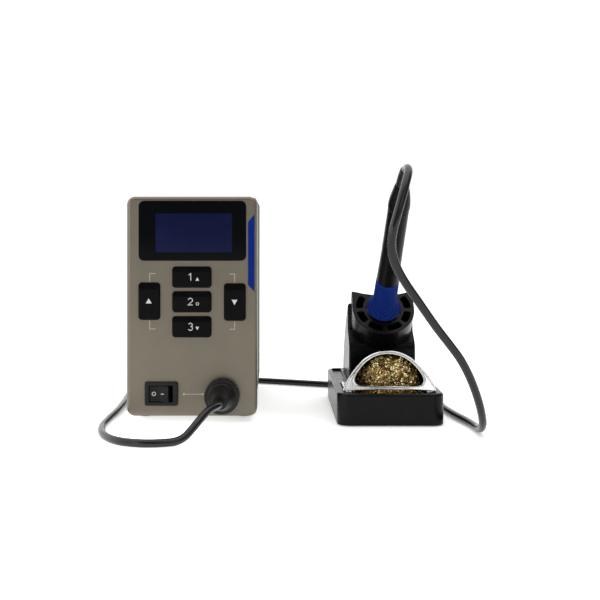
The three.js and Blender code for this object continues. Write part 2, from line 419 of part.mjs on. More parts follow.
const FROM_COIL = [
  [-68.0, 165.0, 7.6], [-78.0, 164.0, 5.0], [-88.0, 161.0, 2.9], [-98.0, 155.0, 2.55], [-106.0, 146.0, 2.55],
  [-111.4, 133.0, 2.55], [-113.2, 117.0, 2.55], [-113.0, 98.0, 2.55], [-112.0, 74.0, 2.55], [-111.0, 48.0, 2.55], [-110.8, 22.0, 2.55],
  [-111.6, -4.0, 2.55], [-111.0, -28.0, 2.55], [-105.2, -51.0, 2.55], [-93.5, -66.6, 2.55], [-79.0, -72.6, 2.55],
  [-66.5, -71.6, 2.55], [-59.0, -68.4, 2.8], [-54.4, -65.0, 4.5], [-50.8, -61.0, 7.8], [-47.4, -57.0, 11.4], [-44.5, -53.0, 14.5],
  [-41.3, -48.8, 17.3], [-38.5, -44.4, 18.5], [-36.3, -39.4, 18.6], [-35.4, -33.6, 18.4], [-35.4, -27.8, 18.3],
];
const through = (points) => new THREE.CatmullRomCurve3(points.map((p) => new THREE.Vector3(...p)), false, 'centripetal');
const route = through([...HANG, ...TO_COIL, ...coil, ...FROM_COIL]);
route.arcLengthDivisions = 4000;
export const CABLE_LENGTH = route.getLength();

class Stretch extends THREE.Curve {
  constructor(curve, u0, u1) { super(); this.curve = curve; this.u0 = u0; this.u1 = u1; }
  getPoint(t, target = new THREE.Vector3()) { return this.curve.getPointAt(this.u0 + (this.u1 - this.u0) * t, target); }
}
function tube(name, a, b, steps) {
  const L = CABLE_LENGTH, sides = 16, pts = [];
  for (let i = 0; i < sides; i++) pts.push(new THREE.Vector2(CABLE_R * Math.cos(2 * Math.PI * i / sides), CABLE_R * Math.sin(2 * Math.PI * i / sides)));
  const g = new THREE.ExtrudeGeometry(new THREE.Shape(pts), { steps, extrudePath: new Stretch(route, a / L, b / L), bevelEnabled: false });
  return piece(name, solid(g), 0x1c1d1d, 0.6);
}
// where the hanging stretch reaches the table, and where the coil's ring begins and ends
const places = [];
for (let i = 0; i <= 4000; i++) places.push(route.getPointAt(i / 4000));
const at = (test, from = 0) => CABLE_LENGTH * places.findIndex((p, i) => i >= from && test(p)) / 4000;
const landing = at((p) => p.z < 2.75);
const ringR = COIL.r + CABLE_R + 0.15, clear = Math.sqrt((ringR + 0.3) ** 2 - (COIL.r - CABLE_R) ** 2);
const enter = at((p) => p.x < COIL.x + clear + 1 && p.y > 150);
const leave = CABLE_LENGTH * (4000 - places.slice().reverse().findIndex((p) => p.y > 150 && p.x > COIL.x - clear - 1)) / 4000;
tube('cable_hanging', 0.3, landing, 18);
tube('cable_behind_stand', landing + 0.3, enter, 16);
piece('cable_coil', alongZ([[COIL.r - CABLE_R - 0.15, 0.05], [ringR, 0.05], [ringR, 10.3], [COIL.r - CABLE_R - 0.15, 10.3]], COIL.x, COIL.y, 24), 0x1c1d1d, 0.6);
tube('cable_to_plug', leave, CABLE_LENGTH - 0.3, 28);

export default root;
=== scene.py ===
# Bench soldering iron station: the looks of every piece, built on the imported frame.
import math
import random

import bmesh
import bpy
import numpy as np
from mathutils import Matrix, Vector, noise


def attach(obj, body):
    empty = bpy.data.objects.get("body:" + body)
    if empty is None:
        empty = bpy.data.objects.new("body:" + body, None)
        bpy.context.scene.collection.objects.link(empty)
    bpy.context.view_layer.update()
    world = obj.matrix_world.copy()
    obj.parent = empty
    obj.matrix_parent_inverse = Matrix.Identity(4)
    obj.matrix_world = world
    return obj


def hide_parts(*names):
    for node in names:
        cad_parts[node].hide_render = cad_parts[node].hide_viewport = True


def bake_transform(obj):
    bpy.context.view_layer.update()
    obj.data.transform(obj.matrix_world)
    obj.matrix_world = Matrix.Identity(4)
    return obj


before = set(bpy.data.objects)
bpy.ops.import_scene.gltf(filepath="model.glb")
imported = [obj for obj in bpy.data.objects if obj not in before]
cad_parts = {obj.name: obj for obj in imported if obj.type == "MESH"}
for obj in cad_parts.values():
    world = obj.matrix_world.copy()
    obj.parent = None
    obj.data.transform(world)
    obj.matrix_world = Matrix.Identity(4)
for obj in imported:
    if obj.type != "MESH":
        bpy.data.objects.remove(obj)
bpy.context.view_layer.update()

random.seed(7)
rng = np.random.default_rng(7)

# Layout millimetres (station front at Y = 0) to the row frame's metres.
OX, OY = 5.7, 41.62


def R(p):
    return ((p[0] - OX) / 1000.0, (p[1] - OY) / 1000.0, p[2] / 1000.0)


def rad(d):
    return math.radians(d)


scene = bpy.context.scene
coll = scene.collection

# ------------------------------------------------------------------ camera
cam_data = bpy.data.cameras.new("camera")
cam_data.sensor_width = 36.0
cam_data.lens = 54.42
cam_data.clip_start = 0.01
cam_data.clip_end = 50.0
cam_data.shift_x = 0.0417
cam_data.shift_y = -0.1083
cam = bpy.data.objects.new("camera", cam_data)
coll.objects.link(cam)
cam.location = R((0, -610, 126))
cam.rotation_euler = (rad(90), 0, 0)
scene.camera = cam

# ------------------------------------------------------------------- cable
CABLE_D = 5.0
HANG = [
    (76.8, -67.15, 160.55), (76.9, -73.6, 164.0), (77.1, -82.0, 165.07), (76.2, -91.5, 161.6), (73.6, -98.4, 154.5),
    (71.0, -102.3, 146.5), (68.4, -104.35, 138.0), (66.0, -104.55, 129.0), (65.1, -103.3, 120.5), (66.8, -101.0, 112.0),
    (70.4, -98.4, 104.5), (75.2, -95.6, 97.0), (81.05, -92.4, 89.2), (87.4, -88.4, 80.6), (94.1, -84.0, 71.8),
    (101.8, -79.4, 62.4), (109.2, -74.8, 53.0), (114.9, -70.4, 43.6), (119.4, -66.2, 34.4), (123.2, -61.6, 25.2),
    (126.2, -56.2, 16.6), (128.4, -49.4, 9.6), (129.35, -41.2, 5.0), (129.54, -32.0, 2.9),
]
TO_COIL = [
    (129.0, -22.0, 2.55), (127.2, -8.0, 2.55), (124.4, 8.0, 2.55), (122.0, 24.0, 2.55), (120.6, 42.0, 2.55),
    (120.0, 62.0, 2.55), (119.0, 82.0, 2.55), (115.0, 100.0, 2.55), (106.0, 115.0, 2.55), (92.0, 125.0, 2.55),
    (74.0, 131.0, 2.55), (52.0, 137.0, 2.55), (28.0, 145.0, 2.55), (6.0, 153.0, 2.55), (-14.0, 159.6, 2.55),
    (-30.0, 163.6, 2.55), (-44.0, 165.0, 2.55),
]
COIL = dict(x=-56.0, y=190.2, r=25.2, turns=2, points=16)
coil = []
for i in range(COIL["turns"] * COIL["points"] + 1):
    a = -math.pi / 2 - 2 * math.pi * i / COIL["points"]
    lift = min(max((i / COIL["points"] - 0.62) / 0.34, 0), 1)
    coil.append((COIL["x"] + COIL["r"] * math.cos(a), COIL["y"] + COIL["r"] * math.sin(a),
                 2.55 + 5.2 * lift * lift * (3 - 2 * lift)))
FROM_COIL = [
    (-68.0, 165.0, 7.6), (-78.0, 164.0, 5.0), (-88.0, 161.0, 2.9), (-98.0, 155.0, 2.55), (-106.0, 146.0, 2.55),
    (-111.4, 133.0, 2.55), (-113.2, 117.0, 2.55), (-113.0, 98.0, 2.55), (-112.0, 74.0, 2.55), (-111.0, 48.0, 2.55),
    (-110.8, 22.0, 2.55), (-111.6, -4.0, 2.55), (-111.0, -28.0, 2.55), (-105.2, -51.0, 2.55), (-93.5, -66.6, 2.55),
    (-79.0, -72.6, 2.55), (-66.5, -71.6, 2.55), (-59.0, -68.4, 2.8), (-54.4, -65.0, 4.5), (-50.8, -61.0, 7.8),
    (-47.4, -57.0, 11.4), (-44.5, -53.0, 14.5), (-41.3, -48.8, 17.3), (-38.5, -44.4, 18.5), (-36.3, -39.4, 18.6),
    (-35.4, -33.6, 18.4), (-35.4, -27.8, 18.3),
]


def centripetal(points, per=10):
    """The smooth curve through the points, as many samples per span."""
    P = [np.array(p, float) for p in points]
    P = [2 * P[0] - P[1]] + P + [2 * P[-1] - P[-2]]
    out = []
    for i in range(1, len(P) - 2):
        p0, p1, p2, p3 = P[i - 1], P[i], P[i + 1], P[i + 2]
        d0, d1, d2 = (math.sqrt(max(np.linalg.norm(b - a), 1e-6)) for a, b in ((p0, p1), (p1, p2), (p2, p3)))
        t1 = ((p1 - p0) / d0 - (p2 - p0) / (d0 + d1) + (p2 - p1) / d1) * d1
        t2 = ((p2 - p1) / d1 - (p3 - p1) / (d1 + d2) + (p3 - p2) / d2) * d1
        for k in range(per):
            t = k / per
            out.append((2 * t**3 - 3 * t**2 + 1) * p1 + (t**3 - 2 * t**2 + t) * t1
                       + (-2 * t**3 + 3 * t**2) * p2 + (t**3 - t**2) * t2)
    out.append(P[-2])
    return np.array(out)


def resample(path, step):
    seg = np.linalg.norm(np.diff(path, axis=0), axis=1)
    s = np.concatenate([[0], np.cumsum(seg)])
    n = max(2, int(round(s[-1] / step)) + 1)
    at = np.linspace(0, s[-1], n)
    return np.stack([np.interp(at, s, path[:, k]) for k in range(3)], 1), float(s[-1])


def tube_mesh(path, radius, sides=16, caps=True, radii=None):
    """Rings carried along the path without twist."""
    n = len(path)
    tan = np.gradient(path, axis=0)
    tan /= np.linalg.norm(tan, axis=1)[:, None]
    up = np.array([0.0, 0.0, 1.0]) if abs(tan[0][2]) < 0.9 else np.array([1.0, 0.0, 0.0])
    nrm = up - tan[0] * up.dot(tan[0])
    nrm /= np.linalg.norm(nrm)
    verts, faces = [], []
    for i in range(n):
        nrm = nrm - tan[i] * nrm.dot(tan[i])
        nrm /= np.linalg.norm(nrm)
        bi = np.cross(tan[i], nrm)
        r = radii[i] if radii is not None else radius
        for k in range(sides):
            a = 2 * math.pi * k / sides
            verts.append(path[i] + r * (math.cos(a) * nrm + math.sin(a) * bi))
    for i in range(n - 1):
        for k in range(sides):
            a, b = i * sides + k, i * sides + (k + 1) % sides
            faces.append((a, b, b + sides, a + sides))
    if caps:
        faces.append(tuple(reversed(range(sides))))
        faces.append(tuple(range((n - 1) * sides, n * sides)))
    return [tuple(v) for v in verts], faces


# ------------------------------------------------------- mesh-making helpers
def new_object(name, verts, faces):
    me = bpy.data.meshes.new(name)
    me.from_pydata([tuple(v) for v in verts], [], faces)
    me.validate()
    ob = bpy.data.objects.new(name, me)
    coll.objects.link(ob)
    return ob


def clean(ob, merge=0.0005, dissolve=None):
    bm = bmesh.new()
    bm.from_mesh(ob.data)
    bmesh.ops.remove_doubles(bm, verts=bm.verts, dist=merge)
    if dissolve:
        bmesh.ops.dissolve_limit(bm, angle_limit=rad(dissolve), verts=bm.verts, edges=bm.edges, delimit={"MATERIAL"})
    bmesh.ops.recalc_face_normals(bm, faces=bm.faces)
    bm.to_mesh(ob.data)
    bm.free()
    return ob


def shade(ob, angle=32):
    bm = bmesh.new()
    bm.from_mesh(ob.data)
    for f in bm.faces:
        f.smooth = True
    for e in bm.edges:
        e.smooth = len(e.link_faces) == 2 and e.calc_face_angle(0.0) < rad(angle)
    bm.to_mesh(ob.data)
    bm.free()
    return ob


def apply_modifiers(ob):
    dg = bpy.context.evaluated_depsgraph_get()
    me = bpy.data.meshes.new_from_object(ob.evaluated_get(dg), depsgraph=dg)
    ob.modifiers.clear()
    old = ob.data
    ob.data = me
    bpy.data.meshes.remove(old)
    return ob


def boole(a, *ops):
    """a cut ('-') by, joined ('+') to or kept within ('&') other solids, which are used up."""
    for op, b in ops:
        m = a.modifiers.new("b", "BOOLEAN")
        m.operation = {"-": "DIFFERENCE", "+": "UNION", "&": "INTERSECT"}[op]
        m.solver = "EXACT"
        m.object = b
        apply_modifiers(a)
        bpy.data.objects.remove(b)
    return a


def bevel(ob, width, segments=2, angle=30):
    m = ob.modifiers.new("v", "BEVEL")
    m.width, m.segments, m.limit_method, m.angle_limit = width, segments, "ANGLE", rad(angle)
    m.use_clamp_overlap = True
    m.miter_outer = "MITER_ARC"
    return apply_modifiers(ob)


def done(ob, body="root", material=None, replaces=(), smooth=32, weighted=True):
    """From layout millimetres to the row frame, shaded, with its material, riding on its body."""
    ob.data.transform(Matrix.Translation((-OX / 1000, -OY / 1000, 0)) @ Matrix.Scale(0.001, 4))
    shade(ob, smooth)
    if material is not None:
        ob.data.materials.clear()
        for m in material if isinstance(material, (list, tuple)) else [material]:
            ob.data.materials.append(m)
    if weighted:
        w = ob.modifiers.new("weighted", "WEIGHTED_NORMAL")
        w.keep_sharp = True
    if body:
        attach(ob, body)
    if replaces:
        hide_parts(*([replaces] if isinstance(replaces, str) else replaces))
    return ob


def rr(cx, cy, w, h, r, n=8):
    """A rounded rectangle's points, counter-clockwise."""
    pts = []
    for (sx, sy, a0) in ((1, -1, -90), (1, 1, 0), (-1, 1, 90), (-1, -1, 180)):
        ax, ay = cx + sx * (w / 2 - r), cy + sy * (h / 2 - r)
        for k in range(n + 1):
            a = rad(a0 + 90 * k / n)
            pts.append((ax + r * math.cos(a), ay + r * math.sin(a)))
    return pts


def stack(loops, name="s", closed=True):
    """A solid through loops of equally many 3-D points, capped at both ends."""
    n = len(loops[0])
    verts = [p for loop in loops for p in loop]
    faces = []
    for i in range(len(loops) - 1):
        for k in range(n):
            a, b = i * n + k, i * n + (k + 1) % n
            faces.append((a, b, b + n, a + n))
    faces.append(tuple(reversed(range(n))))
    faces.append(tuple(range((len(loops) - 1) * n, len(loops) * n)))
    ob = new_object(name, verts, faces)
    return clean(ob)


def edge_levels(y0, y1, front, back=0.0, n=4):
    """(position, inset) pairs that round the two ends of a slab."""
    if front > 0:
        lv = [(y0 + front * (1 - math.cos(rad(90 * k / n))), front * (1 - math.sin(rad(90 * k / n)))) for k in range(n + 1)]
    else:
        lv = [(y0, 0.0)]
    if back > 0:
        lv += [(y1 - back * (1 - math.sin(rad(90 * k / n))), back * (1 - math.cos(rad(90 * k / n)))) for k in range(n + 1)]
    else:
        lv.append((y1, 0.0))
    return lv


def slab_xz(cx, cz, w, h, r, y0, y1, front=0.0, back=0.0, n=8, name="s"):
    """A rounded-rectangle slab lying in X and Z, from y0 to y1, its ends rounded."""
    loops = []
    for y, i in edge_levels(y0, y1, front, back):
        loops.append([(x, y, z) for x, z in rr(cx, cz, w - 2 * i, h - 2 * i, max(r - i, 0.05), n)])
    return stack(loops, name)


def slab_xy(cx, cy, w, h, r, z0, z1, low=0.0, top=0.0, n=8, name="s"):
    loops = []
    for z, i in edge_levels(z0, z1, low, top):
        loops.append([(x, y, z) for x, y in rr(cx, cy, w - 2 * i, h - 2 * i, max(r - i, 0.05), n)])
    return stack(loops, name)


def prism(points, a, b, place, name="s"):
    """A flat outline carried from a to b; place(u, v, t) gives the 3-D point."""
    return stack([[place(u, v, a) for u, v in points], [place(u, v, b) for u, v in points]], name)


XZ = lambda u, v, t: (u, t, v)
XY = lambda u, v, t: (u, v, t)
YZ = lambda u, v, t: (t, u, v)


def box(x0, x1, y0, y1, z0, z1):
    return prism([(x0, y0), (x1, y0), (x1, y1), (x0, y1)], z0, z1, XY)


def revolve(profile, place, sides=64, name="s", warp=None):
    """A turned solid. profile holds (radius, position); it starts and ends on the axis or closes on itself."""
    ring = profile[0][0] > 1e-6 or profile[-1][0] > 1e-6
    verts, faces, rows = [], [], []
    for r, t in profile:
        if r < 1e-6:
            rows.append([len(verts)])
            verts.append(place(0, 0, t))
        else:
            row = []
            for k in range(sides):
                a = 2 * math.pi * k / sides
                rr_ = warp(r, t, a) if warp else r
                row.append(len(verts))
                verts.append(place(rr_ * math.cos(a), rr_ * math.sin(a), t))
            rows.append(row)
    pairs = list(zip(rows[:-1], rows[1:])) + ([(rows[-1], rows[0])] if ring else [])
    for a, b in pairs:
        for k in range(sides):
            k2 = (k + 1) % sides
            if len(a) == 1 and len(b) == 1:
                continue
            if len(a) == 1:
                faces.append((a[0], b[k2], b[k]))
            elif len(b) == 1:
                faces.append((a[k], a[k2], b[0]))
            else:
                faces.append((a[k], a[k2], b[k2], b[k]))
    ob = new_object(name, verts, faces)
    bm = bmesh.new()
    bm.from_mesh(ob.data)
    bmesh.ops.recalc_face_normals(bm, faces=bm.faces)
    bm.to_mesh(ob.data)
    bm.free()
    return ob


def round_profile(profile, radius, n=3, closed=None):
    """The same profile with its corners rounded."""
    pts = [Vector(p) for p in profile]
    ring = pts[0].x > 1e-6
    out = []
    m = len(pts)
    for i, p in enumerate(pts):
        if not ring and i in (0, m - 1):
            out.append((p.x, p.y))
            continue
        a, b = pts[(i - 1) % m], pts[(i + 1) % m]
        u, v = (a - p), (b - p)
        lu, lv = u.length, v.length
        if lu < 1e-6 or lv < 1e-6:
            out.append((p.x, p.y))
            continue
        u, v = u / lu, v / lv
        if abs(u.dot(v)) > 0.985:
            out.append((p.x, p.y))
            continue
        c = min(radius, lu * 0.45, lv * 0.45)
        p0, p2 = p + u * c, p + v * c
        for k in range(n + 1):
            t = k / n
            q = p0 * (1 - t) ** 2 + p * 2 * t * (1 - t) + p2 * t**2
            out.append((q.x, q.y))
    return out


def along_y(cx, cz):
    return lambda u, v, t: (cx + u, t, cz + v)


def along_z(cx, cy):
    return lambda u, v, t: (cx + u, cy + v, t)


TILT = rad(49)
FACE = (76.8, 32.0, 74.3)
AXIS = Vector((0, -math.sin(TILT), math.cos(TILT)))
UPF = Vector((0, math.cos(TILT), math.sin(TILT)))


def in_iron(u, v, t):
    p = Vector(FACE) + Vector((u, 0, 0)) + UPF * v + AXIS * t
    return tuple(p)


def join(name, *obs):
    """Several meshes as one object, material slots kept apart by the caller."""
    verts, faces, mi = [], [], []
    mats = []
    for o in obs:
        off = len(verts)
        verts += [tuple(v.co) for v in o.data.vertices]
        base = len(mats)
        mats += list(o.data.materials) or [None]
        for f in o.data.polygons:
            faces.append(tuple(i + off for i in f.vertices))
            mi.append(base + f.material_index)
        bpy.data.objects.remove(o)
    ob = new_object(name, verts, faces)
    if any(m is not None for m in mats):
        for m in mats:
            ob.data.materials.append(m)
        ob.data.polygons.foreach_set("material_index", mi)
    return ob


# --------------------------------------------------------------- materials
def lin(c):
    """sRGB 0-255 to linear."""
    out = []
    for v in c:
        v = v / 255.0
        out.append(v / 12.92 if v <= 0.04045 else ((v + 0.055) / 1.055) ** 2.4)
    return out


def material(name, color, rough=0.5, metal=0.0, vary=0.08, vary_scale=60.0, rough_vary=0.08, grain=2200.0,
             grain_depth=0.02, coat=0.0, coat_rough=0.1, sheen=0.0, spec=0.5, brushed=None, smudge=0.0):
    """Principled surface with uneven colour, uneven roughness and a fine bump, all from object position."""
    m = bpy.data.materials.new(name)
    m.use_nodes = True
    nt = m.node_tree
    nt.nodes.clear()
    N = lambda t: nt.nodes.new(t)
    out, bsdf, tc = N("ShaderNodeOutputMaterial"), N("ShaderNodeBsdfPrincipled"), N("ShaderNodeTexCoord")
    nt.links.new(bsdf.outputs[0], out.inputs[0])
    bsdf.inputs["Metallic"].default_value = metal
    bsdf.inputs["Specular IOR Level"].default_value = spec
    if coat:
        bsdf.inputs["Coat Weight"].default_value = coat
        bsdf.inputs["Coat Roughness"].default_value = coat_rough
    if sheen:
        bsdf.inputs["Sheen Weight"].default_value = sheen
        bsdf.inputs["Sheen Roughness"].default_value = 0.4
    vec = tc.outputs["Object"]
    if brushed:
        mp = N("ShaderNodeMapping")
        mp.inputs["Scale"].default_value = brushed
        nt.links.new(vec, mp.inputs["Vector"])
        vec = mp.outputs[0]
    # colour
    n1 = N("ShaderNodeTexNoise")
    n1.inputs["Scale"].default_value = vary_scale
    n1.inputs["Detail"].default_value = 5.0
    nt.links.new(tc.outputs["Object"], n1.inputs["Vector"])
    ramp = N("ShaderNodeValToRGB")
    a, b = ramp.color_ramp.elements[0], ramp.color_ramp.elements[1]
    a.position, b.position = 0.3, 0.7
    a.color = [max(0, c * (1 - vary)) for c in color] + [1]
    b.color = [min(1, c * (1 + vary)) for c in color] + [1]
    nt.links.new(n1.outputs["Fac"], ramp.inputs[0])
    nt.links.new(ramp.outputs[0], bsdf.inputs["Base Color"])
    # roughness
    n2 = N("ShaderNodeTexNoise")
    n2.inputs["Scale"].default_value = 140.0 if not brushed else 30.0
    n2.inputs["Detail"].default_value = 6.0
    nt.links.new(vec, n2.inputs["Vector"])
    mr = N("ShaderNodeMapRange")
    mr.inputs["From Min"].default_value, mr.inputs["From Max"].default_value = 0.3, 0.7
    mr.inputs["To Min"].default_value = max(0.02, rough - rough_vary)
    mr.inputs["To Max"].default_value = min(1.0, rough + rough_vary)
    nt.links.new(n2.outputs["Fac"], mr.inputs["Value"])
    last = mr.outputs[0]
    if smudge:
        n4 = N("ShaderNodeTexNoise")
        n4.inputs["Scale"].default_value = 28.0
        n4.inputs["Detail"].default_value = 3.0
        n4.inputs["Distortion"].default_value = 1.2
        nt.links.new(tc.outputs["Object"], n4.inputs["Vector"])
        m2 = N("ShaderNodeMapRange")
        m2.inputs["From Min"].default_value, m2.inputs["From Max"].default_value = 0.5, 0.75
        m2.inputs["To Max"].default_value = smudge
        nt.links.new(n4.outputs["Fac"], m2.inputs["Value"])
        ad = N("ShaderNodeMath")
        ad.operation = "ADD"
        nt.links.new(last, ad.inputs[0])
        nt.links.new(m2.outputs[0], ad.inputs[1])
        last = ad.outputs[0]
    nt.links.new(last, bsdf.inputs["Roughness"])
    # grain
    n3 = N("ShaderNodeTexNoise")
    n3.inputs["Scale"].default_value = grain if not brushed else 40.0
    n3.inputs["Detail"].default_value = 3.0
    nt.links.new(vec, n3.inputs["Vector"])
    bp = N("ShaderNodeBump")
    bp.inputs["Strength"].default_value = 0.35
    bp.inputs["Distance"].default_value = grain_depth / 1000.0
    nt.links.new(n3.outputs["Fac"], bp.inputs["Height"])
    nt.links.new(bp.outputs[0], bsdf.inputs["Normal"])
    return m


MAT = dict(
    bezel=material("bezel", lin((110, 103, 90)), 0.33, 0.55, vary=0.03, vary_scale=45, grain=2600, grain_depth=0.02, rough_vary=0.04),
    window=material("window", lin((9, 10, 12)), 0.08, vary=0.05, grain=400, grain_depth=0.001, rough_vary=0.02, spec=0.05),
    lcd=material("lcd", lin((15, 20, 52)), 0.12, vary=0.10, vary_scale=35, grain=400, grain_depth=0.001, rough_vary=0.03, spec=0.10),
    keys=material("keys", lin((6, 6, 7)), 0.36, vary=0.10, vary_scale=90, grain=3200, grain_depth=0.02, spec=0.07),
    legend=material("legend", lin((196, 196, 190)), 0.55, vary=0.05, vary_scale=600, grain=3000, grain_depth=0.01),
    print_=material("print", lin((166, 161, 148)), 0.55, vary=0.06, vary_scale=500, grain=3000, grain_depth=0.008),
    mat=material("silicone_mat", lin((226, 226, 220)), 0.65, vary=0.03, sheen=0.2),
    pcb=material("pcb", lin((34, 92, 52)), 0.35, vary=0.18, vary_scale=220, coat=0.3),
    accent=material("accent", lin((4, 34, 114)), 0.36, vary=0.08, vary_scale=200, grain=2600, grain_depth=0.012, spec=0.08),
    switch=material("switch", lin((12, 12, 13)), 0.30, vary=0.08, vary_scale=120, grain=2600, grain_depth=0.015, spec=0.24),
    rocker=material("rocker_black", lin((12, 13, 14)), 0.28, vary=0.08, vary_scale=120, grain=2600, grain_depth=0.015, spec=0.18),
    steel=material("steel", (0.56, 0.56, 0.57), 0.3, 1.0, vary=0.10, vary_scale=180, rough_vary=0.1, grain=1500, grain_depth=0.01),
    knurl=material("knurl", lin((12, 12, 12)), 0.34, vary=0.10, vary_scale=150, grain=2600, grain_depth=0.02, spec=0.26),
    rubber=material("rubber", lin((11, 11, 11)), 0.40, vary=0.12, vary_scale=160, grain=2400, grain_depth=0.03, spec=0.26),
    cover=material("cover", lin((98, 94, 84)), 0.62, 0.0, vary=0.025, vary_scale=40, grain=2100, grain_depth=0.05, rough_vary=0.05, spec=0.08),
    rear=material("rear", lin((40, 41, 42)), 0.5, vary=0.06, vary_scale=60, grain=2100, grain_depth=0.05),
    core=material("core", (0.10, 0.10, 0.105), 0.45, 0.7, vary=0.2, vary_scale=300, brushed=(1, 1, 90)),
    copper=material("copper", (0.35, 0.13, 0.05), 0.35, 0.6, vary=0.2, vary_scale=400, brushed=(1, 1, 60)),
    stand=material("stand", lin((8, 9, 9)), 0.27, vary=0.09, vary_scale=70, grain=2400, grain_depth=0.02, rough_vary=0.05, spec=0.13),
    guard=material("guard", (0.70, 0.70, 0.69), 0.20, 1.0, vary=0.03, vary_scale=60, rough_vary=0.03, grain=700, grain_depth=0.0006, smudge=0.03),
    hood=material("hood_black", lin((10, 10, 11)), 0.5, vary=0.15, vary_scale=120, grain=1800, grain_depth=0.03, spec=0.2),
    grip=material("grip", lin((9, 39, 116)), 0.6, vary=0.10, vary_scale=150, grain=2400, grain_depth=0.03, sheen=0.03, spec=0.06),
    handle=material("handle", lin((8, 9, 9)), 0.32, vary=0.09, vary_scale=110, grain=2600, grain_depth=0.02, spec=0.06),
    ceramic=material("ceramic", lin((228, 224, 214)), 0.35, vary=0.04),
    tip=material("tip", (0.60, 0.33, 0.20), 0.32, 1.0, vary=0.25, vary_scale=250, rough_vary=0.15),
    cable=material("cable", lin((13, 14, 14)), 0.22, vary=0.10, vary_scale=130, grain=2000, grain_depth=0.015, spec=0.36),
)


def wool_material():
    """Bright brass ribbon, each curl its own tint from near-black through brown to pale gold: partly the brass's own
    uneven colour, partly painted glints at the pale end and painted shade at the dark end.
    """
    m = material("wool", (0.72, 0.50, 0.20), 0.18, 0.9, vary=0.25, vary_scale=900, rough_vary=0.14, grain=2500, grain_depth=0.05)
    nt = m.node_tree
    bsdf = next(n for n in nt.nodes if n.type == "BSDF_PRINCIPLED")
    at = nt.nodes.new("ShaderNodeAttribute")
    at.attribute_name = "tone_glint_shade"
    ramp = nt.nodes.new("ShaderNodeValToRGB")
    e = ramp.color_ramp.elements
    e[0].position, e[0].color = 0.0, (0.065, 0.026, 0.010, 1)
    e[1].position, e[1].color = 1.0, (1.0, 0.91, 0.54, 1)
    k = e.new(0.45)
    k.color = (0.80, 0.52, 0.18, 1)
    nt.links.new(at.outputs["Fac"], ramp.inputs[0])
    nt.links.new(ramp.outputs[0], bsdf.inputs["Base Color"])
    return m


MAT["wool"] = wool_material()
def shade_by_attribute(m, name, dark):
    """Paints shade into the colour: darkens it where the mesh carries the named attribute."""
    nt = m.node_tree
    bsdf = next(n for n in nt.nodes if n.type == "BSDF_PRINCIPLED")
    src = bsdf.inputs["Base Color"].links[0].from_socket
    at = nt.nodes.new("ShaderNodeAttribute")
    at.attribute_name = name
    mx = nt.nodes.new("ShaderNodeMix")
    mx.data_type = "RGBA"
    nt.links.new(at.outputs["Fac"], mx.inputs["Factor"])
    nt.links.new(src, mx.inputs[6])
    mx.inputs[7].default_value = (*dark, 1)
    nt.links.new(mx.outputs[2], bsdf.inputs["Base Color"])


# painted shade: the grip's blue is darkened in the bottoms of its rib grooves
shade_by_attribute(MAT["grip"], "groove", lin((3, 15, 56)))
# the holder tube's steel is painted near-black, as shade in the gap round the grip
MAT["tube_steel_painted_shade"] = material("tube_steel_painted_shade", (0.10, 0.10, 0.105), 0.42, 0.9, vary=0.2, vary_scale=220, rough_vary=0.1, grain=1500, grain_depth=0.01)

# ----------------------------------------------------------- the cable itself
rough_path = centripetal(HANG + TO_COIL + coil + FROM_COIL, 12)
path_mm, cable_len = resample(rough_path, 2.0)
v, f = tube_mesh(path_mm, CABLE_D / 2 - 0.02, 20)
cable = new_object("iron_cable", v, f)
clean(cable)
done(cable, None, MAT["cable"], ("cable_hanging", "cable_behind_stand", "cable_coil", "cable_to_plug"), weighted=False)
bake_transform(cable)


def ribbon(points, width):
    """The outline of a line of even width through the points, its corners mitred."""
    P = [Vector(p) for p in points]
    left, right = [], []
    for i, p in enumerate(P):
        d0 = (p - P[i - 1]).normalized() if i else (P[1] - p).normalized()
        d1 = (P[i + 1] - p).normalized() if i < len(P) - 1 else d0
        n0, n1 = Vector((-d0.y, d0.x)), Vector((-d1.y, d1.x))
        m = n0 + n1
        m = m.normalized() if m.length > 1e-6 else n0
        k = width / 2 / max(m.dot(n0), 0.45)
        left.append(p + m * k)
        right.append(p - m * k)
    return [tuple(q) for q in left + right[::-1]]


def arc_pts(cx, cz, r, a0, a1, n=14, rz=None):
    rz = rz or r
    return [(cx + r * math.cos(rad(a0 + (a1 - a0) * k / n)), cz + rz * math.sin(rad(a0 + (a1 - a0) * k / n))) for k in range(n + 1)]


NUMERALS = {
    "1": [[(-1.15, 1.25), (0.2, 2.35), (0.2, -2.4)]],
    "2": [arc_pts(0, 0.98, 1.4, 168, -28) + [(-1.55, -2.12), (1.55, -2.12)]],
    "3": [arc_pts(-0.05, 1.12, 1.25, 158, -78, 12), arc_pts(-0.05, -1.02, 1.42, 80, -160, 14)],
}


def numeral(which, x, z, y, w=0.5):
    return join("numeral_" + which, *[print_xz([(x + u, z + v) for u, v in ribbon(line, w)], y - 0.002 * i) for i, line in enumerate(NUMERALS[which])])


def print_xz(points, y, thick=0.03):
    """A thin printed outline on a face that looks toward -Y."""
    return prism(points, y - thick, y + 0.01, XZ)


def ring_xz(cx, cz, r0, r1, y, n=28, thick=0.03):
    outer = [(cx + r1 * math.cos(2 * math.pi * k / n), cz + r1 * math.sin(2 * math.pi * k / n)) for k in range(n)]
    inner = [(cx + r0 * math.cos(2 * math.pi * k / n), cz + r0 * math.sin(2 * math.pi * k / n)) for k in range(n)]
    verts = [(x, y - thick, z) for x, z in outer + inner] + [(x, y + 0.01, z) for x, z in outer + inner]
    faces = []
    for k in range(n):
        a, b = k, (k + 1) % n
        faces.append((a, b, n + b, n + a))
        faces.append((2 * n + a, 3 * n + a, 3 * n + b, 2 * n + b))
        faces.append((a, 2 * n + a, 2 * n + b, b))
        faces.append((n + a, n + b, 3 * n + b, 3 * n + a))
    return clean(new_object("ring", verts, faces), 1e-5)


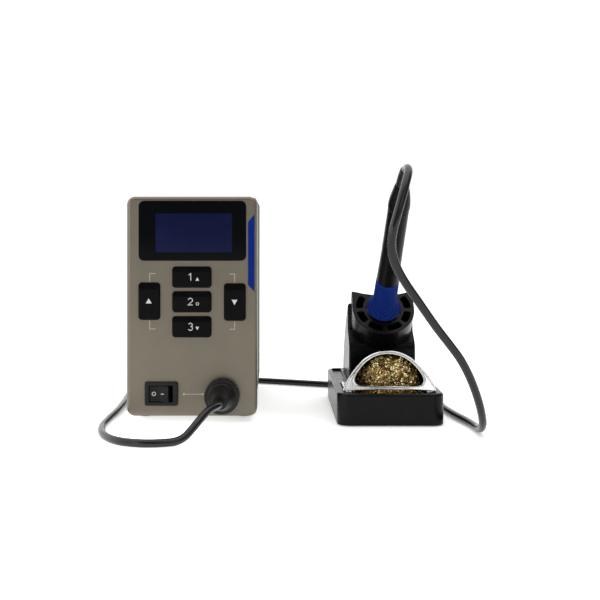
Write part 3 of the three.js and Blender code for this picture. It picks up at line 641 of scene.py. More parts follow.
# --------------------------------------------------------- station, front
PX0, PX1, PZ0, PZ1 = -100.0, -12.0, 3.9, 152.0
PCX, PCZ, PW, PH = (PX0 + PX1) / 2, (PZ0 + PZ1) / 2, PX1 - PX0, PZ1 - PZ0
KEYS = {
    "key_preset_1": ("key_1", -55.9, 97.7, 25.8, 13.6), "key_preset_2": ("key_2", -55.9, 81.1, 25.8, 13.6),
    "key_preset_3": ("key_3", -55.9, 64.3, 25.8, 13.6), "key_up": ("key_plus", -84.5, 81.5, 14.0, 24.5),
    "key_down": ("key_minus", -27.0, 80.9, 14.0, 24.5),
}
STRIP = [(-18.0, 92.7), (-13.9, 88.2), (-13.9, 139.8), (-18.0, 134.7)]

bezel = slab_xz(PCX, PCZ, PW, PH, 5.6, 0.0, 14.0, front=2.7, n=12, name="bezel")
ops = [("-", slab_xz(PCX, PCZ, PW - 5.2, PH - 5.2, 3.4, 3.0, 15.0, n=6)),
       ("-", slab_xz(-55.5, 128.9, 72.5, 40.5, 3.75, -1, 1.6)), ("-", slab_xz(-55.5, 128.9, 61, 33, 2, 1, 5))]
for body_name, x, z, w, h in KEYS.values():
    ops.append(("-", slab_xz(x, z, w + 0.7, h + 0.7, 2.3, -1, 5)))
ops.append(("-", box(-85.9, -66.7, -1, 5, 12.75, 26.05)))
ops.append(("-", revolve([(0, -1), (8.4, -1), (8.4, 5), (0, 5)], along_y(-35.4, 18.3), 48)))
ops.append(("-", prism([(-18.15, 92.4), (-13.75, 87.7), (-13.75, 140.2), (-18.15, 135.0)], -1, 0.8, XZ)))
boole(bezel, *ops)
clean(bezel, 0.001, 0.5)
bevel(bezel, 0.22, 2, 40)
done(bezel, "root", MAT["bezel"], "front_bezel", smooth=40)

window = slab_xz(-55.5, 128.9, 72, 40, 3.5, -0.25, 1.35, front=0.35, n=10, name="window")
done(window, "root", MAT["window"], "display_window")
screen = slab_xz(-54.6, 127.4, 51.4, 26.1, 0.8, -0.262, -0.2, n=4, name="screen_area")
done(screen, "root", MAT["lcd"])

strip = prism(STRIP, -0.1, 0.6, XZ, name="accent")
bevel(strip, 0.08, 2)
done(strip, "root", MAT["accent"], "accent_strip")


def key_cap(name, x, z, w, h):
    """A cap with rounded edges and a slanting upper facet."""
    cap = slab_xz(x, z, w, h, 2.0, -2.6, 4.4, front=0.9, n=7, name=name)
    bm = bmesh.new()
    bm.from_mesh(cap.data)
    drop = 0.24 * h if h < 20 else 0.17 * h
    line = z + h / 2 - drop
    nrm = Vector((0, -drop, 1.0)).normalized()
    geom = bm.verts[:] + bm.edges[:] + bm.faces[:]
    res = bmesh.ops.bisect_plane(bm, geom=geom, plane_co=(x, -2.6, line), plane_no=nrm, clear_outer=True)
    edges = [e for e in res["geom_cut"] if isinstance(e, bmesh.types.BMEdge)]
    bmesh.ops.holes_fill(bm, edges=edges)
    bmesh.ops.recalc_face_normals(bm, faces=bm.faces)
    bm.to_mesh(cap.data)
    bm.free()
    flange = box(x - w / 2 - 1.1, x + w / 2 + 1.1, 3.3, 4.4, z - h / 2 - 1.1, z + h / 2 + 1.1)
    boole(cap, ("+", flange))
    clean(cap, 0.002, 0.5)
    bevel(cap, 0.25, 2, 12)
    return cap


for node, (body_name, x, z, w, h) in KEYS.items():
    done(key_cap(node + "_cap", x, z, w, h), body_name, MAT["keys"], node, smooth=30)

Y_KEY = -2.6
T = 2.3


def legend(ob, body_name, mat="legend"):
    return done(ob, body_name, MAT[mat], weighted=False)


for n, (node, z) in enumerate((("key_1", 97.9), ("key_2", 81.3), ("key_3", 64.6)), 1):
    legend(numeral(str(n), -56.6, z, Y_KEY - 0.005), node)
t = 1.2
legend(print_xz([(-52.0 - t, 97.7 - 2.3), (-52.0 + t, 97.7 - 2.3), (-52.0, 97.7 - 2.3 + 1.9 * t)], Y_KEY), "key_1").name = "mark_up_small"
legend(ring_xz(-52.0, 81.1 - 1.2, 0.72, 1.1, Y_KEY), "key_2").name = "mark_round_small"
legend(print_xz([(-52.0 - t, 64.3 + 0.3), (-52.0, 64.3 + 0.3 - 1.9 * t), (-52.0 + t, 64.3 + 0.3)], Y_KEY), "key_3").name = "mark_down_small"
t = 1.95
legend(print_xz([(-84.6 - t, 80.2), (-84.6 + t, 80.2), (-84.6, 80.2 + 1.75 * t)], Y_KEY), "key_plus").name = "mark_up"
legend(print_xz([(-27.1 - t, 82.6), (-27.1, 82.6 - 1.75 * t), (-27.1 + t, 82.6)], Y_KEY), "key_minus").name = "mark_down"


def bar(x0, x1, z0, z1, y=0.0):
    return print_xz([(x0, z0), (x1, z0), (x1, z1), (x0, z1)], y, 0.02)


lines = [
    bar(-84.45, -84.0, 94.4, 100.3), bar(-84.0, -80.3, 99.85, 100.3), bar(-84.45, -84.0, 62.6, 68.6), bar(-84.0, -80.3, 62.6, 63.05),
    bar(-27.35, -26.9, 93.8, 100.0), bar(-30.5, -27.35, 99.55, 100.0), bar(-27.35, -26.9, 62.4, 68.0), bar(-30.5, -27.35, 62.4, 62.85),
    bar(-60.6, -49.4, 18.75, 19.15), ring_xz(-61.3, 18.95, 0.05, 0.75, 0.0, thick=0.02), ring_xz(-48.7, 18.95, 0.05, 0.75, 0.0, thick=0.02),
]
done(join("panel_lines", *lines), "root", MAT["print_"], weighted=False)

# --------------------------------------------------------- power switch
shell = slab_xz(-76.3, 19.35, 22.4, 16.1, 1.5, -1.9, -0.1, front=0.7, n=6)
boole(shell, ("+", box(-85.7, -66.9, -0.2, 20, 12.95, 25.85)), ("-", slab_xz(-76.6, 19.4, 16.2, 11.2, 0.5, -3, 9)))
for tx in (-83, -76.6, -70.2):
    boole(shell, ("+", box(tx - 0.4, tx + 0.4, 19, 27, 17, 21.8)))
clean(shell, 0.001, 0.5)
bevel(shell, 0.22, 2, 40)
done(shell, "root", MAT["switch"], "switch_frame", smooth=40)

ROCK = (-76.6, 3.4, 19.4)


def rocker_place(u, v, t):
    c, s_ = math.cos(rad(-12)), math.sin(rad(-12))
    return (ROCK[0] + u * c - v * s_, ROCK[1] + u * s_ + v * c, ROCK[2] + t)


face_pts = []
for k in range(11):
    u = -6.64 + 13.28 * k / 10
    dip = 1.36 * (1 - abs(u) / 6.64) ** 0.8
    face_pts.append((u, -6.26 + dip))
prof = face_pts + [(7.2, -2.5), (6.6, 1.5), (2.5, 3.2), (-2.5, 3.2), (-6.6, 1.5), (-7.2, -2.5)]
rk = prism(prof, -5.3, 5.3, rocker_place, name="rocker_body")
clean(rk, 0.001)
bevel(rk, 0.35, 3, 35)
done(rk, "power_rocker", MAT["rocker"], "rocker", smooth=40)


def on_rocker(ob, u, tilt):
    """Lays a mark made flat in X and Z onto the rocker's face at u."""
    dip = 1.36 * (1 - abs(u) / 6.64) ** 0.8
    p = rocker_place(u, -6.26 + dip - 0.06, 0)
    ob.data.transform(Matrix.Translation(p) @ Matrix.Rotation(rad(tilt), 4, "Z"))
    return legend(ob, "power_rocker")


on_rocker(ring_xz(0, 0, 0.95, 1.4, 0.0, thick=0.05), -3.6, -1.2).name = "mark_off"
on_rocker(print_xz([(-1.05, -0.25), (1.05, -0.25), (1.05, 0.25), (-1.05, 0.25)], 0.0, 0.05), 2.3, -22.4).name = "mark_on"

# --------------------------------------------------------- connector and plug
SX, SZ = -35.4, 18.3
sock = revolve(round_profile([(0, 1), (6.4, 1), (6.4, -6), (8, -6), (8, -1.4), (10.4, -1.4), (10.4, -0.1), (8, -0.1), (8, 8), (6.6, 8), (6.6, 13), (0, 13)], 0.25), along_y(SX, SZ), 64, "socket")
pins = [revolve([(0, 12.5), (0.7, 12.5), (0.7, 16.8), (0, 17)], along_y(SX + 4 * math.cos(rad(a)), SZ + 4 * math.sin(rad(a))), 16) for a in range(0, 360, 72)]
done(join("panel_socket", sock, *pins), "root", MAT["steel"], "output_socket")
nut = revolve(round_profile([(8.3, 3.2), (11.2, 3.2), (11.2, 5.8), (8.3, 5.8)], 0.2), along_y(SX, SZ), 48, "nut",
              warp=lambda r, t, a: r if r < 9.5 else min(r, 9.85 / math.cos((a % rad(60)) - rad(30))))
done(nut, "root", MAT["steel"], "socket_nut")
plug = revolve(round_profile([(0, 0.6), (6.1, 0.6), (6.1, -6.1), (7.8, -6.1), (7.8, -7.1), (6.8, -7.1), (6.8, -12.4), (0, -12.4)], 0.25), along_y(SX, SZ), 64, "plug_body")
done(plug, "root", MAT["knurl"], "plug_shell")


def ribbed(r, t, a):
    """Grip ribs round the ring, fading at its two rims."""
    if r < 11.0:
        return r
    fade = min(max((t + 8.2) / 0.5, 0), 1) * min(max((-2.1 - t) / 0.5, 0), 1)
    return r - 0.42 * fade * (0.5 + 0.5 * math.cos(30 * a)) ** 1.6


ring_prof = [(8.35, -1.7), (11.35, -1.7), (11.65, -2.0)] + [(11.68, -2.3 - 0.35 * k) for k in range(17)] + \
            [(11.5, -8.35), (11.2, -8.6), (7.2, -8.6), (7.2, -7.4), (8.35, -7.4)]
ring = revolve(ring_prof, along_y(SX, SZ), 360, "ring_nut", warp=ribbed)
done(ring, "lock_ring", MAT["knurl"], "plug_ring", smooth=40)

boot_prof = [(7.2, -8.9), (9.3, -8.9), (9.5, -9.1), (9.5, -10.8), (9.3, -11.05), (8.75, -11.4), (8.5, -12.2), (8.1, -13.5), (7.6, -15.2),
             (7.1, -17), (6.6, -19), (6.15, -21), (5.7, -23), (5.35, -25), (5.05, -26.6), (4.8, -27.3), (4.45, -27.5), (2.5, -27.5), (2.5, -26.8), (0, -26.8), (0, -12.8), (7.2, -12.8)]
boot = revolve([p for p in boot_prof[:-2]] + [(0, -12.8)], along_y(SX, SZ), 64, "boot_a")
bore = revolve([(0, -12.8), (7.2, -12.8), (7.2, -8), (0, -8)], along_y(SX, SZ), 64)
bpy.data.objects.remove(boot)
boot = revolve([(0, -8.9), (9.3, -8.9)] + boot_prof[2:-2], along_y(SX, SZ), 72, "boot_rubber")
boole(boot, ("-", bore))
clean(boot, 0.001)
done(boot, "root", MAT["rubber"], "plug_boot")

# --------------------------------------------------------- station, body
def smooth_open(points, per=4):
    """A smooth flat curve through the points."""
    P = [np.array((p[0], p[1], 0.0)) for p in points]
    return [(float(q[0]), float(q[1])) for q in centripetal(P, per)]


cover = slab_xz(-56, 80.9, 86.4, 141.4, 1.8, 14.3, 148.0, n=6, name="cover_sheet")
boole(cover, ("-", slab_xz(-56, 80.9, 83.4, 138.4, 0.6, 13, 150, n=5)), ("-", box(-97.5, -14.5, 13, 150, 5, 14)))
clean(cover, 0.001, 0.5)
bevel(cover, 0.3, 2, 50)
done(cover, "root", MAT["cover"], "housing_cover", smooth=40)

base_sheet = box(-97.2, -14.8, 14.3, 145.7, 5.0, 6.5)
for x0, x1 in ((-97.2, -96.0), (-16.0, -14.8)):
    boole(base_sheet, ("+", box(x0, x1, 14.3, 145.7, 5.2, 18.0)))
holes = [("-", prism(rr(x, y, 12, 2.6, 1.25, 4), 4, 8, XY)) for x in (-80, -60, -40) for y in (48, 56, 64, 72, 112, 120)]
boole(base_sheet, *holes)
clean(base_sheet, 0.001, 0.5)
bevel(base_sheet, 0.2, 2, 50)
base_sheet.name = "chassis_sheet"
done(base_sheet, "root", MAT["cover"], "chassis_base", smooth=40)

rear = slab_xz(-56, 77.1, 82.4, 144.2, 2.0, 146.0, 148.0, n=6, name="rear_sheet")
ops = [("-", slab_xz(-66, 37.0, 27.8, 33.8, 0.8, 140, 150))]
ops += [("-", slab_xz(-56, 112 + 5.2 * i, 68, 2.4, 1.15, 140, 150, n=6)) for i in range(6)]
for x, z in ((-93, 144), (-19, 144), (-93, 12), (-19, 12)):
    ops.append(("-", revolve([(0, 140), (1.7, 140), (1.7, 150), (0, 150)], along_y(x, z), 20)))
boole(rear, *ops)
clean(rear, 0.001, 0.5)
bevel(rear, 0.25, 2, 50)
done(rear, "root", MAT["rear"], "rear_panel", smooth=40)


def screw(name, place, head_r, head_t, length, sign=1, drive=True):
    """A pan-head screw with a cross recess; its head points to +t."""
    ob = revolve(round_profile([(0, -length), (1.45, -length), (1.45, 0), (head_r, 0), (head_r, head_t * 0.45), (head_r * 0.62, head_t), (0, head_t)], 0.3), place, 32, name)
    if drive:
        for a in (0, 90):
            c, s_ = math.cos(rad(a + 20)), math.sin(rad(a + 20))
            pts = [(-1.45, -0.3), (1.45, -0.3), (1.45, 0.3), (-1.45, 0.3)]
            boole(ob, ("-", prism([(u * c - v * s_, u * s_ + v * c) for u, v in pts], head_t - 0.75, head_t + 1, place)))
    return clean(ob, 0.001)


for n, (x, z) in enumerate(((-93, 144), (-19, 144), (-93, 12), (-19, 12)), 1):
    put = lambda u, v, t, x=x, z=z: (x + u, 148.1 + t, z + v)
    done(screw(f"panel_screw_{n}", put, 2.8, 1.7, 4.0), "root", MAT["steel"], f"rear_screw_{n}", smooth=35)
for n, (x, y) in enumerate(((-90, 26), (-22, 26), (-90, 136), (-22, 136)), 1):
    foot = revolve(round_profile([(0, 0), (5.3, 0), (6, 0.7), (6, 4.8), (0, 4.8)], 0.3), along_z(x, y), 40, f"rubber_foot_{n}")
    done(foot, "root", MAT["rubber"], f"station_foot_{n}")

# the inlet and its fuse drawer
IX = -66.0
inlet = slab_xz(IX, 37, 30, 38, 2.4, 148.1, 150.6, back=0.6, n=6, name="inlet_socket")
well = [(IX - 12.3, 34.2), (IX + 12.3, 34.2), (IX + 12.3, 46.0), (IX + 7.6, 50.6), (IX - 7.6, 50.6), (IX - 12.3, 46.0)]
boole(inlet, ("+", slab_xz(IX, 37, 27.4, 33.4, 0.6, 131.0, 148.4)), ("-", prism(well, 134.6, 152, XZ)),
      ("-", box(IX - 11, IX + 11, 130, 152, 22.0, 30.4)))
clean(inlet, 0.001, 0.5)
bevel(inlet, 0.25, 2, 45)
blades = [box(IX + dx - dw, IX + dx + dw, 133.2, 147.4, dz - dh, dz + dh) for dx, dz, dw, dh in
          ((-7, 41.2, 1.0, 2.0), (7, 41.2, 1.0, 2.0), (0, 45.4, 1.0, 2.0))]
for b in blades:
    bevel(b, 0.35, 2, 40)
    b.data.materials.append(MAT["steel"])
inlet.data.materials.append(MAT["switch"])
inlet = join("inlet_socket_body", inlet, *blades)
done(inlet, "root", None, "mains_inlet", smooth=40)
drawer = box(IX - 10.6, IX + 10.6, 133, 151, 22.4, 30.0)
boole(drawer, ("+", slab_xz(IX, 26.2, 24, 9.6, 1.0, 150.9, 152.4, n=4)), ("-", box(IX - 4, IX + 4, 151.9, 153, 29.4, 31.2)),
      ("-", box(IX - 9.4, IX + 9.4, 135, 149.4, 23.6, 31)))
clean(drawer, 0.001, 0.5)
bevel(drawer, 0.22, 2, 45)
drawer.name = "fuse_tray"
done(drawer, "fuse_holder", MAT["switch"], "fuse_drawer", smooth=40)

# --------------------------------------------------------------- the stand
SD, SB = 76.2, 76.6          # the middles of the tower and of the base


def sy(s):
    return s - 10.0


def cyl(r, z0, z1, x, y, sides=32):
    return revolve([(0, z0), (r, z0), (r, z1), (0, z1)], along_z(x, y), sides)


foot_block = slab_xy(SB, sy(55.5), 71.0, 119, 8.5, 0.4, 21.5, low=0.6, top=1.8, n=14, name="stand_block")
boole(foot_block,
      ("-", slab_xy(SB, sy(55.5), 65.8, 113.8, 5.8, 0, 18.6, n=8)),
      ("-", slab_xy(SB, sy(21.45), 60.8, 44.1, 3.0, 10, 25, n=6)),
      ("-", slab_xy(SD - 28.4, sy(79.25), 7, 63.5, 1.6, 19.9, 25, n=5)),
      ("-", slab_xy(SD + 28.4, sy(79.25), 7, 63.5, 1.6, 19.9, 25, n=5)),
      ("-", cyl(1.9, 15, 25, SD - 15, sy(92))), ("-", cyl(1.9, 15, 25, SD + 15, sy(92))))
clean(foot_block, 0.001, 0.5)
bevel(foot_block, 0.35, 3, 45)
done(foot_block, "root", MAT["stand"], "stand_base", smooth=40)

back = smooth_open([(sy(60), 74.6), (sy(68), 68.5), (sy(81), 58), (sy(90), 48), (sy(97), 38), (sy(101.5), 30), (sy(104.4), 21.7)], 5)
tower = prism([(sy(44), 21.7), (sy(44), 44), (sy(44.5), 48), (sy(46.3), 50.6), (sy(49), 52.6), (sy(53), 55.6), (sy(56), 57.9), (sy(56), 76.8)] + back, SD - 23.5, SD + 23.5, YZ, name="stand_column")
clean(tower, 0.001)
bevel(tower, 1.2, 4, 50)


def u_outline(r, top, dip, n=40):
    pts = []
    steps = 12 if dip else 1
    for k in range(steps + 1):
        q = k / steps
        pts.append((r * (1 - 2 * q), top * ((1 - q) ** 2 + q * q) + 2 * q * (1 - q) * (top - 2 * dip)))
    for k in range(n + 1):
        a = math.pi + math.pi * k / n
        pts.append((r * math.cos(a), r * math.sin(a)))
    return pts


def sector(mid, half, r0, r1, r=1.5):
    """A rounded window between two radii, its middle mid degrees from straight down."""
    rm = (r0 + r1) / 2
    w = 2 * rad(half) * rm
    raw = rr(0, rm, w, r1 - r0, r, 4)
    pts = []
    for i, p in enumerate(raw):
        q = raw[(i + 1) % len(raw)]
        n = max(1, int(math.hypot(q[0] - p[0], q[1] - p[1]) / 0.8))
        for k in range(n):
            pts.append((p[0] + (q[0] - p[0]) * k / n, p[1] + (q[1] - p[1]) * k / n))
    return [(rad_ * math.cos(rad(-90 + mid) + s_ / rm), rad_ * math.sin(rad(-90 + mid) + s_ / rm)) for s_, rad_ in pts]


barrel = prism(u_outline(21.8, 15.1, 0.4), -30, 0, in_iron, name="barrel")
clean(barrel, 0.001)
bevel(barrel, 0.75, 3, 40)
VENTS = [(22.5, 17.4, 14.4, 19.6), (-22.5, 17.4, 14.4, 19.6), (64.5, 15.9, 14.4, 19.6), (-64.5, 15.9, 14.4, 19.6), (107.5, 17.6, 14.4, 19.5), (-107.5, 17.6, 14.4, 19.5)]
# the mouth's upper edge dips between its two horns
scoop = [(24, 15.1), (24, 18), (-24, 18), (-24, 15.1)] + [(-21.4 + 42.8 * k / 28, 15.1 - 3.7 * (1 - (1 - 2 * k / 28) ** 2)) for k in range(29)]
room = prism([(sy(a), b) for a, b in ((46.8, 20), (46.8, 46.6), (58.8, 55.6), (58.8, 72.4), (61, 71.2), (66, 66.8), (79, 56.4), (94.6, 36.6), (101.3, 20))],
             SD - 20.9, SD + 20.9, YZ)
boole(room, ("+", prism(u_outline(19.2, 12.25, 0), -28, -4, in_iron)))
disc = [(12.3 * math.cos(2 * math.pi * k / 72), 12.3 * math.sin(2 * math.pi * k / 72)) for k in range(72)]
boole(tower, ("+", barrel), ("-", room), ("+", cyl(3.6, 21.9, 38, SD - 15, sy(92))), ("+", cyl(3.6, 21.9, 38, SD + 15, sy(92))),
      ("-", prism(disc, -5, 1, in_iron)), ("-", prism(scoop, -5, 1, in_iron)), *[("-", prism(sector(*v), -6, 1, in_iron)) for v in VENTS],
      ("-", cyl(1.8, 20, 29, SD - 15, sy(92), 20)), ("-", cyl(1.8, 20, 29, SD + 15, sy(92), 20)))
clean(tower, 0.002, 0.5)
bevel(tower, 0.35, 2, 28)
done(tower, "root", MAT["stand"], "stand_tower", smooth=40)

plate = slab_xy(SB, sy(55.5), 65.0, 113, 5.5, 1.3, 3.3, n=7, name="stand_floor_plate")
bevel(plate, 0.2, 2, 45)
done(plate, "root", MAT["steel"], "stand_bottom_plate", smooth=40)
for n, (dx, s) in enumerate(((-26, 5), (26, 5), (-26, 106), (26, 106)), 1):
    pad = revolve(round_profile([(0, 0), (4.6, 0), (5, 0.4), (5, 1.2), (0, 1.2)], 0.15), along_z(SB + dx, sy(s)), 40, f"stand_pad_{n}")
    done(pad, "root", MAT["rubber"], f"stand_foot_{n}")
for n, dx in enumerate((-15, 15), 1):
    put = lambda u, v, t, dx=dx: (SD + dx + u, sy(92) + v, 18.4 - t)
    done(screw(f"column_screw_{n}", put, 3.0, 2.0, 9.1, drive=True), "root", MAT["steel"], f"tower_screw_{n}", smooth=35)

# ------------------------------------------------------------ tip cleaner
tray = slab_xy(SB, sy(21.45), 59.2, 42.5, 2.6, 3.6, 20.6, low=0.8, n=8, name="tray_pan")
boole(tray, ("-", slab_xy(SB, sy(21.45), 56.2, 39.5, 1.6, 5.1, 25, n=6)))
clean(tray, 0.001, 0.5)
bevel(tray, 0.35, 2, 45)
done(tray, "cleaner", MAT["stand"], "wool_tray", smooth=40)

OUT_H = [(31.6, 0), (30, 4), (27.6, 8.5), (22.4, 15.6), (15.8, 22.2), (8, 26.2)]
IN_H = [(18, 3.4), (21.4, 4.5), (22.9, 7.5), (20.6, 13.0), (14.5, 19.9), (7.6, 23.8)]


def arch(half_pts, top):
    return smooth_open(half_pts + [(0, top)] + [(-a, b) for a, b in reversed(half_pts)], 12)


def ray_hit(poly, c, d):
    """Where a ray from c along d leaves a closed outline."""
    best = None
    for i in range(len(poly)):
        p, q = np.array(poly[i]), np.array(poly[(i + 1) % len(poly)])
        e = q - p
        den = d[0] * e[1] - d[1] * e[0]
        if abs(den) < 1e-12:
            continue
        w = p - c
        t = (w[0] * e[1] - w[1] * e[0]) / den
        s = (w[0] * d[1] - w[1] * d[0]) / den
        if t > 0 and -1e-9 <= s <= 1 + 1e-9 and (best is None or t > best):
            best = t
    return c + np.array(d) * best


def guard_at(u, w, t):
    c, s_ = math.cos(rad(70)), math.sin(rad(70))
    return (SD + u, sy(3.4) + w * c - t * s_, 21.9 + w * s_ + t * c)


outer, inner = arch(OUT_H, 27.4) + [(-24, 0.5), (-14, 0.7), (14, 0.7), (24, 0.5)], arch(IN_H, 25.0)
mid_c = np.array((0.0, 11.0))
angles = sorted(set([2 * math.pi * k / 240 for k in range(240)]
                    + [math.atan2(p[1] - 11.0, p[0]) % (2 * math.pi) for p in (outer[0], outer[-5], inner[0], inner[-1])]))
loops = []
for a in angles:
    d = (math.cos(a), math.sin(a))
    O, I = ray_hit(outer, mid_c, d), ray_hit(inner, mid_c, d)
    L = float(np.linalg.norm(I - O))
    e = (I - O) / L
    k = min(1.0, L / 3.7)
    prof = [(0.3 * k, 0.0), (0.05, 0.2), (0.0, 0.6), (0.05, 1.1), (0.3 * k, 1.5), (0.75 * k, 1.68), (1.2 * k, 1.5), (1.5 * k, 1.1), (1.75 * k, 0.82),
            (2.0 * k, 0.75), (L - 1.7 * k, 0.75), (L - 1.5 * k, 0.8), (L - 1.3 * k, 1.05), (L - 1.05 * k, 1.38), (L - 0.65 * k, 1.55), (L - 0.25 * k, 1.4), (L - 0.04, 1.0), (L, 0.6), (L - 0.05, 0.2), (L - 0.3 * k, 0.0)]
    loops.append([guard_at(*(O + e * x), t) for x, t in prof])
n_s = len(loops[0])
verts = [p for lp in loops for p in lp]
faces = [(i * n_s + k, i * n_s + (k + 1) % n_s, ((i + 1) % len(loops)) * n_s + (k + 1) % n_s, ((i + 1) % len(loops)) * n_s + k)
         for i in range(len(loops)) for k in range(n_s)]
ring_g = clean(new_object("guard_ring", verts, faces), 1e-4)
posts, rails = [], []
for k in (-1, 1):
    p_ = prism(rr(SD + k * 26.95, sy(5.3), 4.7, 4.4, 1.0, 4), 21.0, 23.1, XY)
    bevel(p_, 0.4, 3, 40)
    posts.append(p_)
    r_ = prism(rr(SD + k * 26.95, sy(22.1), 4.7, 39.8, 1.6, 5), 20.9, 22.3, XY)
    bevel(r_, 0.4, 3, 40)
    rails.append(r_)

# the hood behind the frame: a closed dome, open below and to the front
RIM = [(25.0, -3), (25.0, 7.9), (22.4, 14.2), (15.9, 21.3), (8.4, 25.3), (0, 26.6)]
DOME = [(-0.5, 1, 1), (6, 1, 0.97), (12, 0.98, 0.9), (18, 0.94, 0.8), (22, 0.85, 0.67), (25.6, 0.68, 0.48), (28, 0.42, 0.28)]


def dome(inset):
    rim = smooth_open(RIM[1:] + [(-a, b) for a, b in RIM[1:-1]][::-1], 6)
    rim = [(25.0, -3.0)] + rim + [(-25.0, -3.0)]
    st = smooth_open([(d, g) for d, g, f in DOME], 4), smooth_open([(d, f) for d, g, f in DOME], 4)
    depths = np.linspace(-0.5, 28, 34)
    g_of = np.interp(depths, [p[0] for p in st[0]], [p[1] for p in st[0]])
    f_of = np.interp(depths, [p[0] for p in st[1]], [p[1] for p in st[1]])
    lps = []
    for k, d in enumerate(depths):
        dd = d - (0.6 if k == 0 else 1.0) * inset
        lp = []
        for a, b in rim:
            u = (0 if abs(a) < 0.01 else a - math.copysign(inset, a)) * g_of[k]
            w = b if b < 0 else (b - inset * min(b / 12, 1)) * f_of[k]
            lp.append((SD + u, sy(3.4 + 0.342 * w + dd), 21.9 + 0.94 * w))
        lps.append(lp)
    return stack(lps, "hood_body")


hood = dome(0)
boole(hood, ("-", dome(0.8)), ("-", box(0, 200, -100, 200, 0, 21.0)))
clean(hood, 0.001)
for ob_ in (ring_g, *posts, *rails):
    ob_.data.materials.append(MAT["guard"])
hood.data.materials.append(MAT["hood"])
guard = join("guard_frame", ring_g, *posts, *rails, hood)
done(guard, "cleaner", None, "wool_guard", smooth=50)

# ------------------------------------------------------------- brass wool
HEAP_C, HEAP_R, HEAP_P = np.array((78.9, sy(20.6), 20.0)), np.array((18.8, 9.2, 24.2)), 2.8
BED_C, BED_H = np.array((SB, sy(21.5))), np.array((27.2, 19.1))


def under_hood(p, gap):
    """Whether a point is behind the frame and this far inside the hood."""
    w = (p[2] - 21.9) / 0.94
    d = p[1] - sy(3.4) - 0.342 * w
    if d < 0.9:
        return False
    g_, f_ = np.interp(d, [q[0] for q in DOME], [q[1] for q in DOME]), np.interp(d, [q[0] for q in DOME], [q[2] for q in DOME])
    top = w / f_ + gap
    if top > 26.6:
        return False
    half = np.interp(top, [q[1] for q in RIM], [q[0] for q in RIM]) if top > -3 else 25.0
    return abs(p[0] - SD) < half * g_ - gap


def heap_inside(p, grow=0.0):
    if p[2] < 12.6:
        return False
    if p[2] < 19.2 + grow and abs(p[0] - BED_C[0]) < BED_H[0] and abs(p[1] - BED_C[1]) < BED_H[1]:
        return True
    if p[2] < 22.0 and 61.5 < p[0] < 94.5 and sy(3.0) < p[1] < sy(12):
        return True
    q = np.abs((p - HEAP_C) / (HEAP_R + grow))
    return float(np.sum(q ** HEAP_P)) < 1.0 and p[1] > sy(11.4) and under_hood(p, 1.3)


def curl(centre, radius, turns, width, pitch, n):
    """A springy strip of swarf, its axis and wobble random."""
    ax = rng.normal(size=3)
    ax /= np.linalg.norm(ax)
    u = np.cross(ax, rng.normal(size=3))
    u /= np.linalg.norm(u)
    v = np.cross(ax, u)
    ph = rng.uniform(0, 2 * math.pi)
    k1, k2 = rng.uniform(0.7, 1.3, 2)
    out = []
    for i in range(n + 1):
        q = i / n
        a = ph + 2 * math.pi * turns * q
        rad_ = radius * (0.75 + 0.35 * math.sin(3.1 * a * 0.37 + ph))
        c = centre + u * (k1 * rad_ * math.cos(a)) + v * (k2 * rad_ * math.sin(a)) + ax * (pitch * (q - 0.5) * turns)
        roll = 0.5 * math.sin(2.3 * a + ph)
        radial = u * math.cos(a) + v * math.sin(a)
        wdir = ax * math.cos(roll) + radial * math.sin(roll)
        out.append((c - wdir * width / 2, c + wdir * width / 2))
    return out


wv, wf, wt = [], [], []
count = 1950
made = 0
while made < count:
    kind = rng.random()
    if kind < 0.74:
        d = rng.normal(size=3)
        d[2] = abs(d[2])
        d[1] = -abs(d[1]) if rng.random() < 0.75 else abs(d[1])
        d /= np.linalg.norm(d)
        d /= float(np.sum(np.abs(d) ** HEAP_P)) ** (1 / HEAP_P)
        c = HEAP_C + HEAP_R * d * rng.uniform(0.78, 1.0)
        if c[2] < 14:
            continue
    elif kind < 0.86:
        c = np.array((rng.uniform(62, 94), sy(rng.uniform(3.4, 11.5)), rng.uniform(18.5, 21.6)))
    else:
        c = np.array((BED_C[0] + rng.uniform(-26.5, 26.5), BED_C[1] + rng.uniform(-18.5, 18.5), rng.uniform(16.0, 19.0)))
    rad_c = rng.uniform(0.85, 1.95)
    pts = curl(c, rad_c, rng.uniform(0.7, 1.6), rng.uniform(0.6, 1.15), rng.uniform(0.9, 2.3), 18)
    if not all(heap_inside((a + b) / 2, 0.5) for a, b in pts):
        continue
    base_i = len(wv)
    # the curl's tint: the pale share stands for painted glints, the rest for the brass's own tone and painted shade
    # between curls
    tone_glint_shade = float(rng.uniform(0.80, 1.0) if rng.random() < 0.58 else rng.beta(1.1, 2.6) * 0.7)
    # curls in the channel under the guard's bar: tint painted darker, as shade under the bar
    if 0.74 < kind < 0.86:
        tone_glint_shade *= 0.35
    # curls at the heap's sides: tint painted lighter, to make up for the light falling off there
    elif kind < 0.74 and abs(c[0] - HEAP_C[0]) > 8.0:
        tone_glint_shade = min(1.0, tone_glint_shade + 0.16)
    # bed curls at the front corners of the tray, under the guard: tint painted near-black, as shade
    elif kind >= 0.86 and c[1] < sy(12) and not 64 < c[0] < 95:
        tone_glint_shade *= 0.1
    for a, b in pts:
        wv += [tuple(a), tuple(b)]
        wt += [tone_glint_shade, min(1.0, tone_glint_shade + 0.06)]
    for i in range(len(pts) - 1):
        j = base_i + 2 * i
        wf.append((j, j + 1, j + 3, j + 2))
    made += 1
